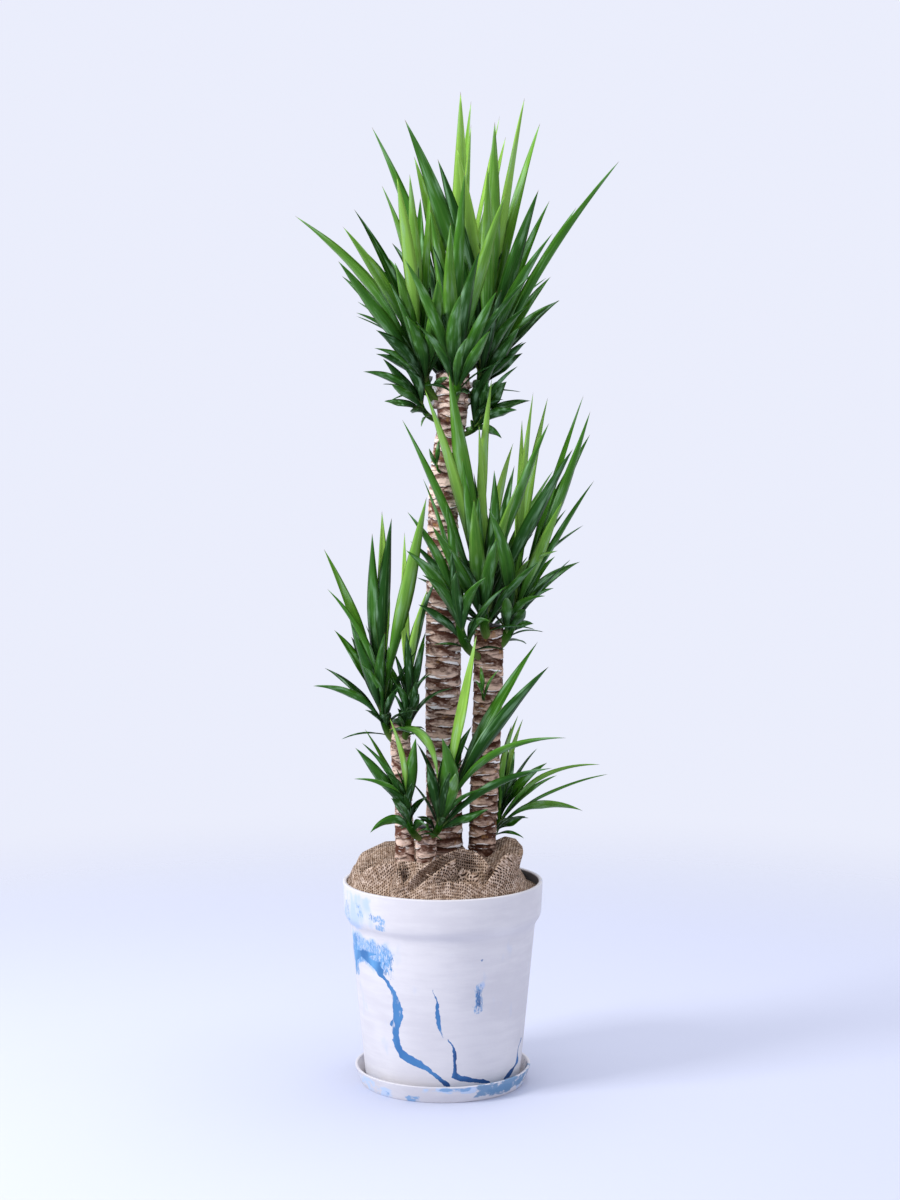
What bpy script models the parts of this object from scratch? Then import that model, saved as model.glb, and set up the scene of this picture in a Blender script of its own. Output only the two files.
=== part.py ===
"""Potted yucca: cut canes with leafy heads, standing in a marbled pot on its saucer.

Metres, +Z up. The origin is the middle of the saucer's underside, +Y points away from
the side the plant is shown from, and +X points right as seen from there.
"""

import math
import random

import bmesh
import bpy
from mathutils import Vector
from mathutils.bvhtree import BVHTree

CM = 0.01
MM = 0.001
UP = Vector((0, 0, 1))

# Pot and saucer, as radius and height of the turned profile
SIDES = 36
SAUCER_TOP_R = 0.1458
SAUCER_FOOT_R = 0.135
SAUCER_HEIGHT = 0.0285
SAUCER_FLOOR = 0.005
RIM_R = 0.165
RIM_TOP = 0.336
RIM_FOOT = 0.281
SHOULDER_R = 0.1525
SHOULDER_Z = 0.266
POT_FOOT_R = 0.1275
SAUCER_WALL = 0.0045
LIP = 0.0066
RIM_DRAFT = 0.0025
POT_WALL = 0.007
POT_FLOOR = 0.013
COVE = 0.005
FOOT_RING = 0.015
RECESS = 0.003
DRAIN_R = 0.012
EDGE = 0.0012
GAP = 0.0004

# Soil and cloth, on one polar grid
GRID_SIDES = 28
SOIL_R = 0.156
SOIL_TOP = ((0.09, 0.347), (SOIL_R, 0.320))
SOIL_PEAK = 0.362
SOIL_CLEAR = 0.0012
CROWN_R = 0.03
CLOTH_RINGS = (0.045, 0.080, 0.106, 0.134, SOIL_R)
CLOTH_EDGE = 0.334
CLOTH_RISE = 0.045
CLOTH_FALL = 2.4
# Humps and dips of the cloth: height, x, y, reach in x and in y, and how flat on top
HUMPS = (
    (0.016, -0.095, 0.0, 0.040, 0.070, 2),
    (0.045, 0.106, 0.015, 0.034, 0.045, 4),
    (0.010, 0.020, -0.120, 0.050, 0.025, 2),
    (0.008, 0.080, -0.085, 0.030, 0.030, 2),
    (-0.014, 0.155, -0.010, 0.018, 0.060, 2),
)

# Canes: each row is x, y, z and radius of the middle line, upwards
BURIED = 0.20
BARK_FROM = 0.335
CANE_SIDES = 9
SCAR_PITCH = 0.034
SCAR_RELIEF = 0.0011
SCAR_STEP = 0.3
SCAR_SPREAD = (0.85, 1.15)
TILT = 0.003
PLAIN_STEP = 0.012
SLEEVE = 0.0017
SLEEVE_STEP = 0.07
HOLES_TO = 0.43
CANES = {
    "cane_tall": (
        (0.004, 0.0, BURIED, 0.0290),
        (0.003, 0.0, 0.40, 0.0295),
        (0.0005, 0.0, 0.63, 0.0290),
        (0.001, 0.0, 0.77, 0.0285),
        (0.001, 0.0, 0.96, 0.0240),
        (0.005, 0.0, 1.03, 0.0230),
        (0.014, 0.0, 1.08, 0.0235),
        (0.016, 0.0, 1.13, 0.0270),
        (0.016, 0.0, 1.168, 0.0280),
    ),
    "cane_middle": (
        (0.060, 0.005, BURIED, 0.0225),
        (0.0645, 0.005, 0.38, 0.0228),
        (0.0740, 0.005, 0.63, 0.0240),
        (0.0760, 0.005, 0.755, 0.0245),
    ),
    "cane_left": (
        (-0.060, -0.045, BURIED, 0.0160),
        (-0.0615, -0.045, 0.38, 0.0160),
        (-0.0645, -0.045, 0.48, 0.0145),
        (-0.0680, -0.045, 0.56, 0.0165),
        (-0.0700, -0.045, 0.605, 0.0170),
    ),
    "cane_short": (
        (-0.025, -0.060, BURIED, 0.0160),
        (-0.026, -0.060, 0.37, 0.0165),
        (-0.028, -0.060, 0.434, 0.0170),
    ),
    "cane_back": (
        (0.070, 0.058, BURIED, 0.0165),
        (0.0725, 0.060, 0.408, 0.0165),
    ),
}
SEAL = 0.003
SEAL_PROFILE = ((0.90, 0.0), (0.92, 0.6), (0.70, 1.0))
CUT_EDGE = 0.002

# Leaf tips are given where the eye point sees them against the plane of the tall cane
EYE = Vector((0.012, -3.587, 1.0795))

BLADE_THICK = 0.0018
BLADE_PROFILE = ((0.0, 0.26), (0.18, 0.46), (0.50, 1.0), (0.77, 0.72))
SHORT_PROFILE = ((0.0, 0.26), (0.42, 1.0), (0.74, 0.70))
SHORT_BLADE = 0.28
LEAFY_FROM = 0.36
LEAFY_TO = 0.98
STEM_SIDES = 6
STEM_PROFILE = ((0.0, 0.8), (0.3, 0.95), (0.55, 1.0), (0.85, 0.85), (1.03, 0.5))
STEM_TURN = 0.25
ROOT_DEPTH = 0.45
FOLD = 0.10
BOW_UP = 0.85
BOW_IN = 0.5
TWIST = 1.8
BLADE_CLEAR_FROM = 0.10
CLEARANCE = 0.0013
CLOTH_CLEARANCE = 0.003

# Heads: foot on the cane and heart at the top of the stem (x, y, z in cm), stem radius in mm,
# leaves as tip x, tip z and depth in cm, width in mm and bow in cm, and the leaves on the
# side turned away as count, first and last bearing in degrees, and length in cm
HEADS = {
    "head_tall_left": {
        "cane": "cane_tall",
        "foot": (-0.2, -0.5, 111.5),
        "heart": (-3.7, -1.0, 121.5),
        "stem": 11,
        "leaves": (
            (-23.8, 142.0, -9, 31, 1.5),
            (-16.9, 134.8, -14, 29, 1.2),
            (-16.3, 132.4, 4, 24, 1.2),
            (-16.1, 140.3, -4, 26, 1.0),
            (-14.3, 143.1, 3, 28, 1.0),
            (-9.8, 146.9, -6, 24, 0.8),
            (-7.4, 148.3, -9, 28, 0.6),
            (-5.3, 148.7, -2, 24, 0.5),
            (-2.0, 148.2, 2, 19, 0.4),
            (-7.7, 134.6, -15, 22, 1.0),
            (-8.6, 131.4, -12, 19, 0.8),
            (-0.8, 131.8, -18, 31, 1.2),
            (-10.8, 123.7, -12, 26, 1.2),
            (-11.1, 120.8, -7, 22, 1.0),
            (-14.0, 126.5, -4, 24, 1.4),
            (-6.0, 126.0, -14, 24, 1.0),
        ),
        "fill": (6, 70, 150, 24),
    },
    "head_tall_front": {
        "cane": "cane_tall",
        "foot": (1.6, -1.6, 111.5),
        "heart": (2.4, -6.2, 118.5),
        "stem": 10,
        "leaves": (
            (-6.1, 135.0, -19, 27, 1.0),
            (1.3, 140.9, -17, 31, 0.8),
            (6.0, 136.4, -19, 31, 0.8),
            (3.0, 129.5, -22, 31, 1.5),
            (7.7, 123.6, -20, 26, 1.5),
            (10.2, 145.6, -14, 31, 0.8),
            (-2.0, 143.0, -13, 26, 0.6),
            (3.6, 149.0, -11, 26, 0.4),
            (-4.2, 124.5, -19, 26, 1.2),
            (8.8, 130.0, -18, 26, 1.0),
        ),
        "fill": (3, 200, 340, 20),
    },
    "head_tall_right": {
        "cane": "cane_tall",
        "foot": (3.0, 0.0, 111.5),
        "heart": (7.0, 0.6, 120.2),
        "stem": 11,
        "leaves": (
            (-6.1, 157.4, -8, 31, 2.0),
            (-0.8, 151.1, -6, 27, 1.4),
            (2.3, 153.0, -2, 25, 0.8),
            (8.4, 157.0, -4, 27, 0.4),
            (7.3, 149.9, -10, 25, 0.5),
            (13.2, 160.8, 0, 33, 0.8),
            (15.7, 156.8, 4, 25, 0.8),
            (15.5, 146.2, -5, 25, 0.8),
            (17.3, 144.5, 6, 18, 0.8),
            (28.5, 150.8, -4, 29, 0.6),
            (21.6, 143.4, 5, 23, 0.8),
            (17.8, 139.3, -9, 26, 1.0),
            (17.5, 132.3, 4, 25, 1.2),
            (14.0, 127.7, -7, 22, 1.2),
            (12.5, 124.2, -10, 22, 1.0),
            (13.6, 121.8, -5, 19, 1.0),
            (13.0, 120.0, 5, 19, 1.0),
        ),
        "fill": (5, 25, 105, 24),
    },
    "head_tall_back": {
        "cane": "cane_tall",
        "foot": (1.4, 1.6, 111.5),
        "heart": (1.2, 6.0, 121.5),
        "stem": 11,
        "leaves": (
            (-11.4, 156.2, 3, 31, 1.8),
            (2.9, 161.8, 4, 28, 0.3),
            (4.6, 160.3, 7, 17, 0.3),
            (4.6, 156.6, 2, 16, 0.3),
            (-4.6, 151.5, 8, 25, 0.6),
            (9.0, 150.0, 10, 25, 0.6),
            (9.2, 157.9, 6, 17, 0.3),
            (10.2, 154.7, 9, 17, 0.3),
        ),
        "fill": (11, 15, 165, 27),
    },
    "head_tall_low_left": {
        "cane": "cane_tall",
        "foot": (0.6, -0.6, 108.6),
        "heart": (-3.4, -2.4, 112.2),
        "stem": 6,
        "leaves": (
            (-12.9, 117.0, -5, 16, 1.0),
            (-8.5, 115.1, -8, 17, 0.8),
            (-5.3, 110.6, -9, 15, 0.8),
            (-3.5, 108.1, -8, 13, 0.8),
            (-9.5, 112.2, 3, 15, 0.8),
        ),
        "fill": (2, 120, 200, 9),
    },
    "head_tall_low_right": {
        "cane": "cane_tall",
        "foot": (1.8, -0.2, 106.4),
        "heart": (6.2, -1.6, 109.8),
        "stem": 6,
        "leaves": (
            (12.2, 117.9, -2, 18, 0.8),
            (12.1, 110.8, -5, 19, 0.8),
            (14.3, 112.3, 3, 15, 0.8),
            (4.8, 107.5, -7, 19, 1.0),
            (9.6, 106.2, -4, 17, 1.0),
        ),
        "fill": (2, -20, 60, 9),
    },
    "head_middle_left": {
        "cane": "cane_middle",
        "foot": (6.2, -0.4, 70.4),
        "heart": (2.6, -6.6, 78.6),
        "stem": 10,
        "leaves": (
            (-3.2, 99.7, -10, 14, 0.6),
            (-5.8, 94.3, -10, 26, 0.8),
            (-5.3, 89.5, -8, 24, 0.8),
            (-6.0, 88.0, -14, 29, 1.0),
            (-4.0, 79.1, -11, 25, 1.2),
            (0.5, 96.0, -12, 20, 0.4),
            (7.1, 83.6, -15, 26, 0.8),
            (7.8, 76.3, -10, 20, 2.0),
            (-3.4, 84.0, -16, 24, 1.2),
            (2.2, 84.5, -18, 26, 1.2),
        ),
        "fill": (2, 230, 330, 14),
    },
    "head_middle_centre": {
        "cane": "cane_middle",
        "foot": (7.4, -0.6, 73.4),
        "heart": (6.4, -3.8, 82.5),
        "stem": 11,
        "leaves": (
            (1.0, 117.0, -11, 33, 0.8),
            (-3.0, 114.4, -9, 25, 0.6),
            (8.0, 116.0, -4, 20, 0.4),
            (5.9, 108.5, -6, 18, 0.3),
            (17.3, 108.7, -7, 29, 0.8),
            (21.2, 104.5, -9, 31, 0.8),
            (8.4, 101.1, -9, 26, 0.5),
            (5.1, 96.3, -14, 29, 0.8),
            (-6.6, 109.3, -10, 24, 0.6),
            (-1.7, 92.3, -14, 24, 0.8),
            (3.2, 103.0, -10, 26, 0.4),
            (12.4, 99.0, -11, 26, 0.8),
            (8.9, 90.0, -15, 25, 1.0),
        ),
        "fill": (2, 240, 320, 18),
    },
    "head_middle_right": {
        "cane": "cane_middle",
        "foot": (8.0, 0.4, 71.4),
        "heart": (11.7, -0.6, 80.0),
        "stem": 11,
        "leaves": (
            (14.7, 113.7, -2, 28, 0.4),
            (17.1, 112.9, 3, 24, 0.4),
            (12.9, 109.2, 5, 16, 0.4),
            (22.9, 113.2, 3, 17, 0.4),
            (24.0, 110.6, -3, 26, -0.5),
            (24.0, 106.9, 5, 22, 0.6),
            (24.7, 99.4, -1, 18, 0.8),
            (18.8, 87.9, -6, 18, 4.0),
            (18.4, 87.0, 3, 20, 1.6),
            (18.2, 81.8, 0, 16, 1.4),
            (16.8, 80.5, -6, 20, 1.4),
            (13.6, 78.1, -8, 20, 1.4),
            (14.9, 75.9, 3, 16, 1.0),
            (7.4, 95.1, -12, 27, 0.8),
            (10.4, 80.2, -12, 20, 1.2),
            (19.5, 96.0, -8, 24, 0.8),
        ),
        "fill": (3, 10, 60, 22),
    },
    "head_middle_back": {
        "cane": "cane_middle",
        "foot": (7.6, 1.2, 72.4),
        "heart": (7.4, 6.0, 81.0),
        "stem": 10,
        "leaves": (
            (11.5, 105.5, 6, 22, 0.6),
            (18.0, 101.0, 9, 24, 0.8),
        ),
        "fill": (10, 15, 165, 23),
    },
    "head_left_left": {
        "cane": "cane_left",
        "foot": (-7.6, -4.7, 57.0),
        "heart": (-9.8, -5.4, 65.0),
        "stem": 9,
        "leaves": (
            (-19.4, 88.2, -5, 21, 0.5),
            (-18.9, 81.7, -8, 19, 2.0),
            (-11.5, 90.8, -7, 27, 0.3),
            (-9.9, 94.4, -4, 22, 0.2),
            (-8.3, 93.3, -6, 25, 0.3),
            (-2.6, 96.7, -10, 25, 0.6),
            (-15.2, 76.6, -11, 27, -1.2),
            (-21.3, 65.7, -7, 23, 2.2),
            (-0.8, 50.1, -13, 17, 3.4),
            (-9.4, 74.5, -16, 24, 1.0),
            (-13.5, 69.5, -13, 22, 1.2),
            (-9.4, 60.8, -10, 19, 1.0),
        ),
        "fill": (5, 70, 170, 17),
    },
    "head_left_right": {
        "cane": "cane_left",
        "foot": (-6.6, -4.8, 57.0),
        "heart": (-5.4, -7.0, 64.4),
        "stem": 8,
        "leaves": (
            (-6.2, 91.0, -5, 16, 0.2),
            (-0.6, 82.0, -8, 27, 1.4),
            (-2.4, 81.7, -10, 15, 0.8),
            (-6.0, 74.8, -13, 22, 0.8),
            (-2.9, 72.8, -11, 22, 0.8),
            (-1.9, 67.7, -11, 22, 1.0),
            (-4.4, 66.4, -15, 22, 1.2),
            (-7.6, 66.0, -14, 22, 1.2),
            (-5.6, 62.0, -12, 19, 1.4),
            (-7.4, 60.4, -11, 19, 1.0),
        ),
        "fill": (4, 20, 160, 15),
    },
    "head_low_left": {
        "cane": "cane_short",
        "foot": (-3.2, -6.4, 41.4),
        "heart": (-5.6, -10.0, 47.0),
        "stem": 8,
        "leaves": (
            (-12.8, 58.6, -8, 19, 0.6),
            (-13.3, 56.3, -11, 19, 0.8),
            (-14.4, 55.5, -12, 23, 0.8),
            (-13.0, 53.6, -9, 21, 0.8),
            (-14.6, 50.3, -12, 21, 2.0),
            (-10.0, 49.1, -14, 18, 0.8),
            (-8.5, 47.1, -14, 17, 0.8),
            (-12.0, 41.3, -12, 24, 1.6),
            (-8.7, 60.4, -10, 19, 0.4),
            (-4.4, 57.1, -12, 23, 0.4),
            (-2.4, 42.0, -14, 21, 1.2),
        ),
        "fill": (2, 190, 260, 10),
    },
    "head_low_front": {
        "cane": "cane_short",
        "foot": (-2.2, -6.2, 41.8),
        "heart": (-0.2, -9.0, 46.4),
        "stem": 8,
        "leaves": (
            (5.6, 74.3, -7, 23, 0.2),
            (15.6, 73.0, -5, 25, 0.8),
            (17.4, 68.9, -10, 29, 1.2),
            (18.0, 52.1, -13, 23, 1.6),
            (20.4, 57.1, -12, 16, 4.2),
            (-0.1, 57.3, -19, 31, 0.6),
            (2.2, 51.3, -17, 29, 0.8),
            (7.6, 45.3, -12, 16, 0.6),
            (4.8, 59.1, -6, 22, 0.4),
            (2.8, 58.8, -6, 20, 0.4),
            (-2.6, 53.0, -16, 20, 0.8),
        ),
        "fill": (2, 270, 350, 12),
    },
    "head_low_back": {
        "cane": "cane_back",
        "foot": (7.3, 6.0, 38.8),
        "heart": (9.4, 6.2, 44.5),
        "stem": 8,
        "leaves": (
            (25.9, 52.7, 2, 18, 2.8),
            (27.2, 51.1, 5, 16, 1.5),
            (23.1, 45.0, 3, 18, 2.8),
            (14.2, 43.8, 1, 16, 0.8),
            (13.2, 45.0, 7, 16, 0.8),
            (12.4, 60.9, 4, 20, 0.3),
            (13.2, 60.3, 8, 16, 0.3),
            (17.2, 53.0, 9, 18, 0.8),
        ),
        "fill": (8, 20, 160, 16),
    },
    "sprout_middle": {
        "cane": "cane_middle",
        "foot": (6.9, -0.4, 63.4),
        "heart": (6.5, -3.4, 65.0),
        "stem": 3,
        "leaves": (
            (6.2, 69.0, -4, 8, 0.2),
            (9.3, 68.5, -4, 9, 0.2),
            (5.3, 66.6, -4, 7, 0.2),
        ),
        "fill": (0, 0, 0, 0),
    },
    "sprout_tall": {
        "cane": "cane_tall",
        "foot": (0.2, -0.4, 100.4),
        "heart": (-0.9, -3.4, 102.0),
        "stem": 3,
        "leaves": (
            (-2.2, 104.6, -4.2, 8, 0.2),
            (-0.6, 106.0, -4.6, 8, 0.2),
        ),
        "fill": (0, 0, 0, 0),
    },
}
FILL_SEED = 7
FILL_WIDTH = (20, 29)
FILL_BOW = 1.2
FULL_WIDTH_FROM = 22
STEEPEST = 72
FLATTEST = 6
RISE_SPREAD = 6
REACH_SPREAD = (0.8, 1.05)
FLAT_REACH = 0.72
GOLDEN = 0.618034
# How far a blade's width turns to the eye, for the leaves seen and for the others
FACING = ((0.35, 0.75), (0.0, 0.4))
# How a blade may be turned aside, in the order tried: how far, and which way
ASIDE = (0.0, 0.012, 0.022, 0.034, 0.048, 0.065, 0.085, 0.11)
WAYS = ((0, -1, 0), (0, 1, 0), (0.3, -0.8, 0.4), (-0.3, 0.8, 0.4), (0.4, 0.2, -0.8), (-0.5, -0.2, 0.7))
SHORTER = (1.0, 0.85, 0.7)

# Colour and roughness
FINISHES = {
    "saucer": ((0.86, 0.86, 0.88), 0.6),
    "pot": ((0.90, 0.90, 0.92), 0.6),
    "soil": ((0.055, 0.040, 0.030), 0.95),
    "burlap": ((0.42, 0.32, 0.24), 0.9),
    "bark": ((0.36, 0.26, 0.21), 0.85),
    "seal": ((0.03, 0.025, 0.025), 0.5),
    "leaf": ((0.10, 0.27, 0.08), 0.45),
}
SHARP = 40


def material(name, kind):
    colour, roughness = FINISHES[kind]
    made = bpy.data.materials.new(name)
    made.use_nodes = True
    shader = made.node_tree.nodes["Principled BSDF"]
    shader.inputs["Base Color"].default_value = (*colour, 1)
    shader.inputs["Roughness"].default_value = roughness
    shader.inputs["Metallic"].default_value = 0
    return made


def solid(name, corners, faces, finish, smooth=True):
    """A mesh object with its faces turned outwards."""
    mesh = bpy.data.meshes.new(name)
    mesh.from_pydata([tuple(c) for c in corners], [], faces)
    shape = bmesh.new()
    shape.from_mesh(mesh)
    bmesh.ops.recalc_face_normals(shape, faces=shape.faces)
    shape.to_mesh(mesh)
    shape.free()
    made = bpy.data.objects.new(name, mesh)
    bpy.context.scene.collection.objects.link(made)
    if finish:
        mesh.materials.append(finish)
    if smooth:
        mesh.shade_smooth()
        mesh.set_sharp_from_angle(angle=math.radians(SHARP))
    return made


def skin(rings, closed=False):
    """Corners and faces of rings with equal counts, capped unless the last joins the first."""
    count = len(rings[0])
    corners = [c for ring in rings for c in ring]
    faces = []
    for k in range(len(rings) if closed else len(rings) - 1):
        a = k * count
        b = (k + 1) % len(rings) * count
        for i in range(count):
            j = (i + 1) % count
            faces.append((a + i, a + j, b + j, b + i))
    if not closed:
        faces.append(tuple(range(count))[::-1])
        faces.append(tuple(range(len(corners) - count, len(corners))))
    return corners, faces


def circle(radius, z, sides):
    steps = (2 * math.pi * k / sides for k in range(sides))
    return [Vector((radius * math.cos(a), radius * math.sin(a), z)) for a in steps]


def turned(name, profile, finish, sides=SIDES, closed=False):
    corners, faces = skin([circle(r, z, sides) for r, z in profile], closed)
    return solid(name, corners, faces, finish)


def evaluated(made):
    """The object's mesh with its modifiers applied."""
    graph = bpy.context.evaluated_depsgraph_get()
    mesh = bpy.data.meshes.new_from_object(made.evaluated_get(graph))
    made.modifiers.clear()
    made.data = mesh
    return made


def cut(made, cutters):
    """Takes the cutters out of the object, and removes them."""
    group = bpy.data.collections.new("cutters")
    for cutter in cutters:
        group.objects.link(cutter)
    step = made.modifiers.new("cut", "BOOLEAN")
    step.operation = "DIFFERENCE"
    step.operand_type = "COLLECTION"
    step.collection = group
    step.solver = "EXACT"
    evaluated(made)
    for cutter in list(group.objects):
        bpy.data.objects.remove(cutter)
    bpy.data.collections.remove(group)
    return made


def fuse(made, pieces):
    """Joins the pieces to the object in one union, and removes them."""
    group = bpy.data.collections.new("pieces")
    for piece in pieces:
        group.objects.link(piece)
    step = made.modifiers.new("fuse", "BOOLEAN")
    step.operation = "UNION"
    step.operand_type = "COLLECTION"
    step.collection = group
    step.solver = "MANIFOLD"
    evaluated(made)
    for piece in list(group.objects):
        bpy.data.objects.remove(piece)
    bpy.data.collections.remove(group)
    return made


def keep_largest(made):
    """Drops the loose scraps that a cut leaves."""
    shape = bmesh.new()
    shape.from_mesh(made.data)
    left = set(shape.verts)
    bodies = []
    while left:
        body = {left.pop()}
        edge = list(body)
        while edge:
            for link in edge.pop().link_edges:
                for vert in link.verts:
                    if vert in left:
                        left.discard(vert)
                        body.add(vert)
                        edge.append(vert)
        bodies.append(body)
    bodies.sort(key=len)
    for body in bodies[:-1]:
        bmesh.ops.delete(shape, geom=list(body), context="VERTS")
    shape.to_mesh(made.data)
    shape.free()
    return made


# Pot and saucer


def make_saucer():
    inner_top = SAUCER_TOP_R - SAUCER_WALL
    profile = (
        (SAUCER_FOOT_R - EDGE, 0.0),
        (SAUCER_FOOT_R, EDGE),
        (SAUCER_TOP_R, SAUCER_HEIGHT - EDGE),
        (SAUCER_TOP_R - EDGE, SAUCER_HEIGHT),
        (inner_top + EDGE, SAUCER_HEIGHT),
        (inner_top, SAUCER_HEIGHT - EDGE),
        (POT_FOOT_R + EDGE, SAUCER_FLOOR),
    )
    return turned("saucer", profile, material("saucer", "saucer"))


def pot_inside():
    """Radius and height down the pot's inner wall, from the foot of the rim to the floor."""
    floor = SAUCER_FLOOR + GAP + POT_FLOOR
    return (
        (RIM_R - LIP, RIM_FOOT + POT_WALL),
        (SHOULDER_R - POT_WALL, SHOULDER_Z - COVE),
        (POT_FOOT_R - COVE, floor + COVE),
        (POT_FOOT_R - 2 * COVE, floor),
    )


def make_pot():
    foot = SAUCER_FLOOR + GAP
    profile = (
        (POT_FOOT_R - EDGE, foot),
        (POT_FOOT_R, foot + EDGE),
        (SHOULDER_R, SHOULDER_Z),
        (RIM_R - RIM_DRAFT, RIM_FOOT),
        (RIM_R, RIM_TOP - EDGE),
        (RIM_R - EDGE, RIM_TOP),
        (RIM_R - LIP, RIM_TOP),
        *pot_inside(),
        (DRAIN_R, foot + POT_FLOOR),
        (DRAIN_R, foot + RECESS),
        (POT_FOOT_R - FOOT_RING, foot + RECESS),
        (POT_FOOT_R - FOOT_RING, foot),
    )
    return turned("pot", profile, material("pot", "pot"), closed=True)


# Canes


def along(rows, z):
    """Middle and radius of a cane at a height, on smooth curves through its rows."""
    last = len(rows) - 1
    k = 0
    while k < last - 1 and z > rows[k + 1][2]:
        k += 1
    low, high = Vector(rows[k]), Vector(rows[k + 1])
    t = (z - low[2]) / (high[2] - low[2])
    slopes = []
    for at in (k, k + 1):
        before, after = Vector(rows[max(at - 1, 0)]), Vector(rows[min(at + 1, last)])
        slopes.append((after - before) / (after[2] - before[2]) * (high[2] - low[2]))
    a = 2 * t**3 - 3 * t**2 + 1
    b = t**3 - 2 * t**2 + t
    point = low * a + slopes[0] * b + high * (1 - a) + slopes[1] * (t**3 - t**2)
    return Vector((point[0], point[1], z)), point[3]


def bark_ring(rows, z, grow, tilt=0.0, phase=0.0):
    """One ring round a cane: grow is added to its radius, and its plane tilts a little."""
    ring = []
    for k in range(CANE_SIDES):
        angle = 2 * math.pi * k / CANE_SIDES
        height = z + tilt * math.cos(angle - phase)
        middle, radius = along(rows, height)
        ring.append(middle + (radius + grow) * Vector((math.cos(angle), math.sin(angle), 0)))
    return ring


def cane_rings(name, rows, grow=0.0):
    """Overlapping leaf scars as a stack of flared steps, over a plain buried foot."""
    draw = random.Random(name)
    top = rows[-1][2]
    rings = [bark_ring(rows, BURIED, grow), bark_ring(rows, BARK_FROM - PLAIN_STEP, grow)]
    z = BARK_FROM
    while z < top - 0.8 * SCAR_PITCH:
        tilt = TILT * draw.uniform(0.3, 1.0)
        phase = draw.uniform(0, 2 * math.pi)
        pitch = SCAR_PITCH * draw.uniform(*SCAR_SPREAD)
        rings.append(bark_ring(rows, z, grow + SCAR_RELIEF, tilt, phase))
        rings.append(bark_ring(rows, z + SCAR_STEP * pitch, grow - SCAR_RELIEF, tilt, phase))
        z += pitch
    rings.append(bark_ring(rows, top - CUT_EDGE, grow + SCAR_RELIEF))
    return rings


def make_cane(name, rows, finish):
    rings = cane_rings(name, rows)
    top = rows[-1][2]
    middle, radius = along(rows, top)
    rings.append([middle + (p - middle) * (1 - CUT_EDGE / radius) for p in bark_ring(rows, top, 0)])
    return solid(name, *skin(rings), finish)


def make_seat(name, rows):
    """The room that a cane and its seal take out of a head that grows from it."""
    rings = cane_rings(name, rows, GAP)
    rings.append([p + UP * 3 * SEAL for p in rings[-1]])
    return solid("seat", *skin(rings), None)


def make_seal(name, rows, finish):
    """The dark sealed disc on a cane's cut top."""
    middle, radius = along(rows, rows[-1][2])
    rings = []
    for share, rise in SEAL_PROFILE:
        ring = circle(share * radius, GAP + rise * SEAL, CANE_SIDES)
        rings.append([middle + p for p in ring])
    return solid(name, *skin(rings), finish)


def sleeve(rows, grow, top=None):
    """Corners and faces of a smooth tube a little wider than the cane, up to past its seal."""
    low, end = rows[0][2], top or rows[-1][2]
    count = max(2, round((end - low) / SLEEVE_STEP))
    rings = [bark_ring(rows, low + (end - low) * k / count, grow) for k in range(count + 1)]
    rings[0] = [p - UP * GAP for p in rings[0]]
    rings.append([p + UP * 2 * SEAL for p in rings[-1]])
    return skin(rings)


# Soil and cloth


def cloth_height(x, y):
    """Top of the crumpled cloth: a mound with a hump at the left and a roll at the right."""
    r = min(1.0, math.hypot(x, y) / SOIL_R)
    height = CLOTH_EDGE + CLOTH_RISE * (1 - r**CLOTH_FALL)
    for rise, at_x, at_y, wide, deep, flat in HUMPS:
        height += rise * math.exp(-abs((x - at_x) / wide) ** flat - abs((y - at_y) / deep) ** flat)
    return height


def soil_height(r):
    rows = ((0.0, SOIL_PEAK), *SOIL_TOP)
    for (r0, z0), (r1, z1) in zip(rows, rows[1:]):
        if r <= r1:
            return z0 + (z1 - z0) * (r - r0) / (r1 - r0)
    return rows[-1][1]


def domed(rings):
    """Corners and faces closed by a fan at the middle of the first and the last ring."""
    count = len(rings[0])
    corners, faces = skin(rings)
    faces = faces[:-2]
    for ring, base in ((rings[0], 0), (rings[-1], len(corners) - count)):
        corners.append(sum(ring, Vector()) / count)
        for i in range(count):
            faces.append((base + i, base + (i + 1) % count, len(corners) - 1))
    return corners, faces


def cane_cutters(grow):
    """A plain hole for each cane, through soil and cloth."""
    return [solid(f"hole_{name}", *sleeve(rows, grow, HOLES_TO), None) for name, rows in CANES.items()]


def make_soil():
    wall = [(r - SOIL_CLEAR, z + SOIL_CLEAR / 2) for r, z in pot_inside()]
    profile = [(CROWN_R, soil_height(CROWN_R)), *SOIL_TOP, *wall]
    rings = [circle(r, z, GRID_SIDES) for r, z in profile]
    soil = solid("soil", *domed(rings), material("soil", "soil"))
    return cut(soil, cane_cutters(SLEEVE))


def make_cloth():
    rings = []
    for r in CLOTH_RINGS:
        ring = circle(r, 0, GRID_SIDES)
        rings.append([Vector((p.x, p.y, cloth_height(p.x, p.y))) for p in ring])
    for r in (SOIL_R, SOIL_TOP[0][0], CROWN_R):
        rings.append(circle(r, soil_height(r) + GAP, GRID_SIDES))
    cloth = solid("burlap", *domed(rings), material("burlap", "burlap"))
    return cut(cloth, cane_cutters(SLEEVE + GAP))


# Leaves


def seen(x, z, depth):
    """The point at a depth on the sight line through (x, 0, z)."""
    return EYE + (Vector((x, 0, z)) - EYE) * (1 + depth / -EYE.y)


def stem_point(head, share):
    """A point on a stem's middle line, which leaves the cane sideways and turns up."""
    foot, heart = head["foot_at"], head["heart_at"]
    turn = Vector((heart.x, heart.y, foot.z + STEM_TURN * (heart.z - foot.z)))
    return foot * (1 - share) ** 2 + turn * 2 * share * (1 - share) + heart * share**2


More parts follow.
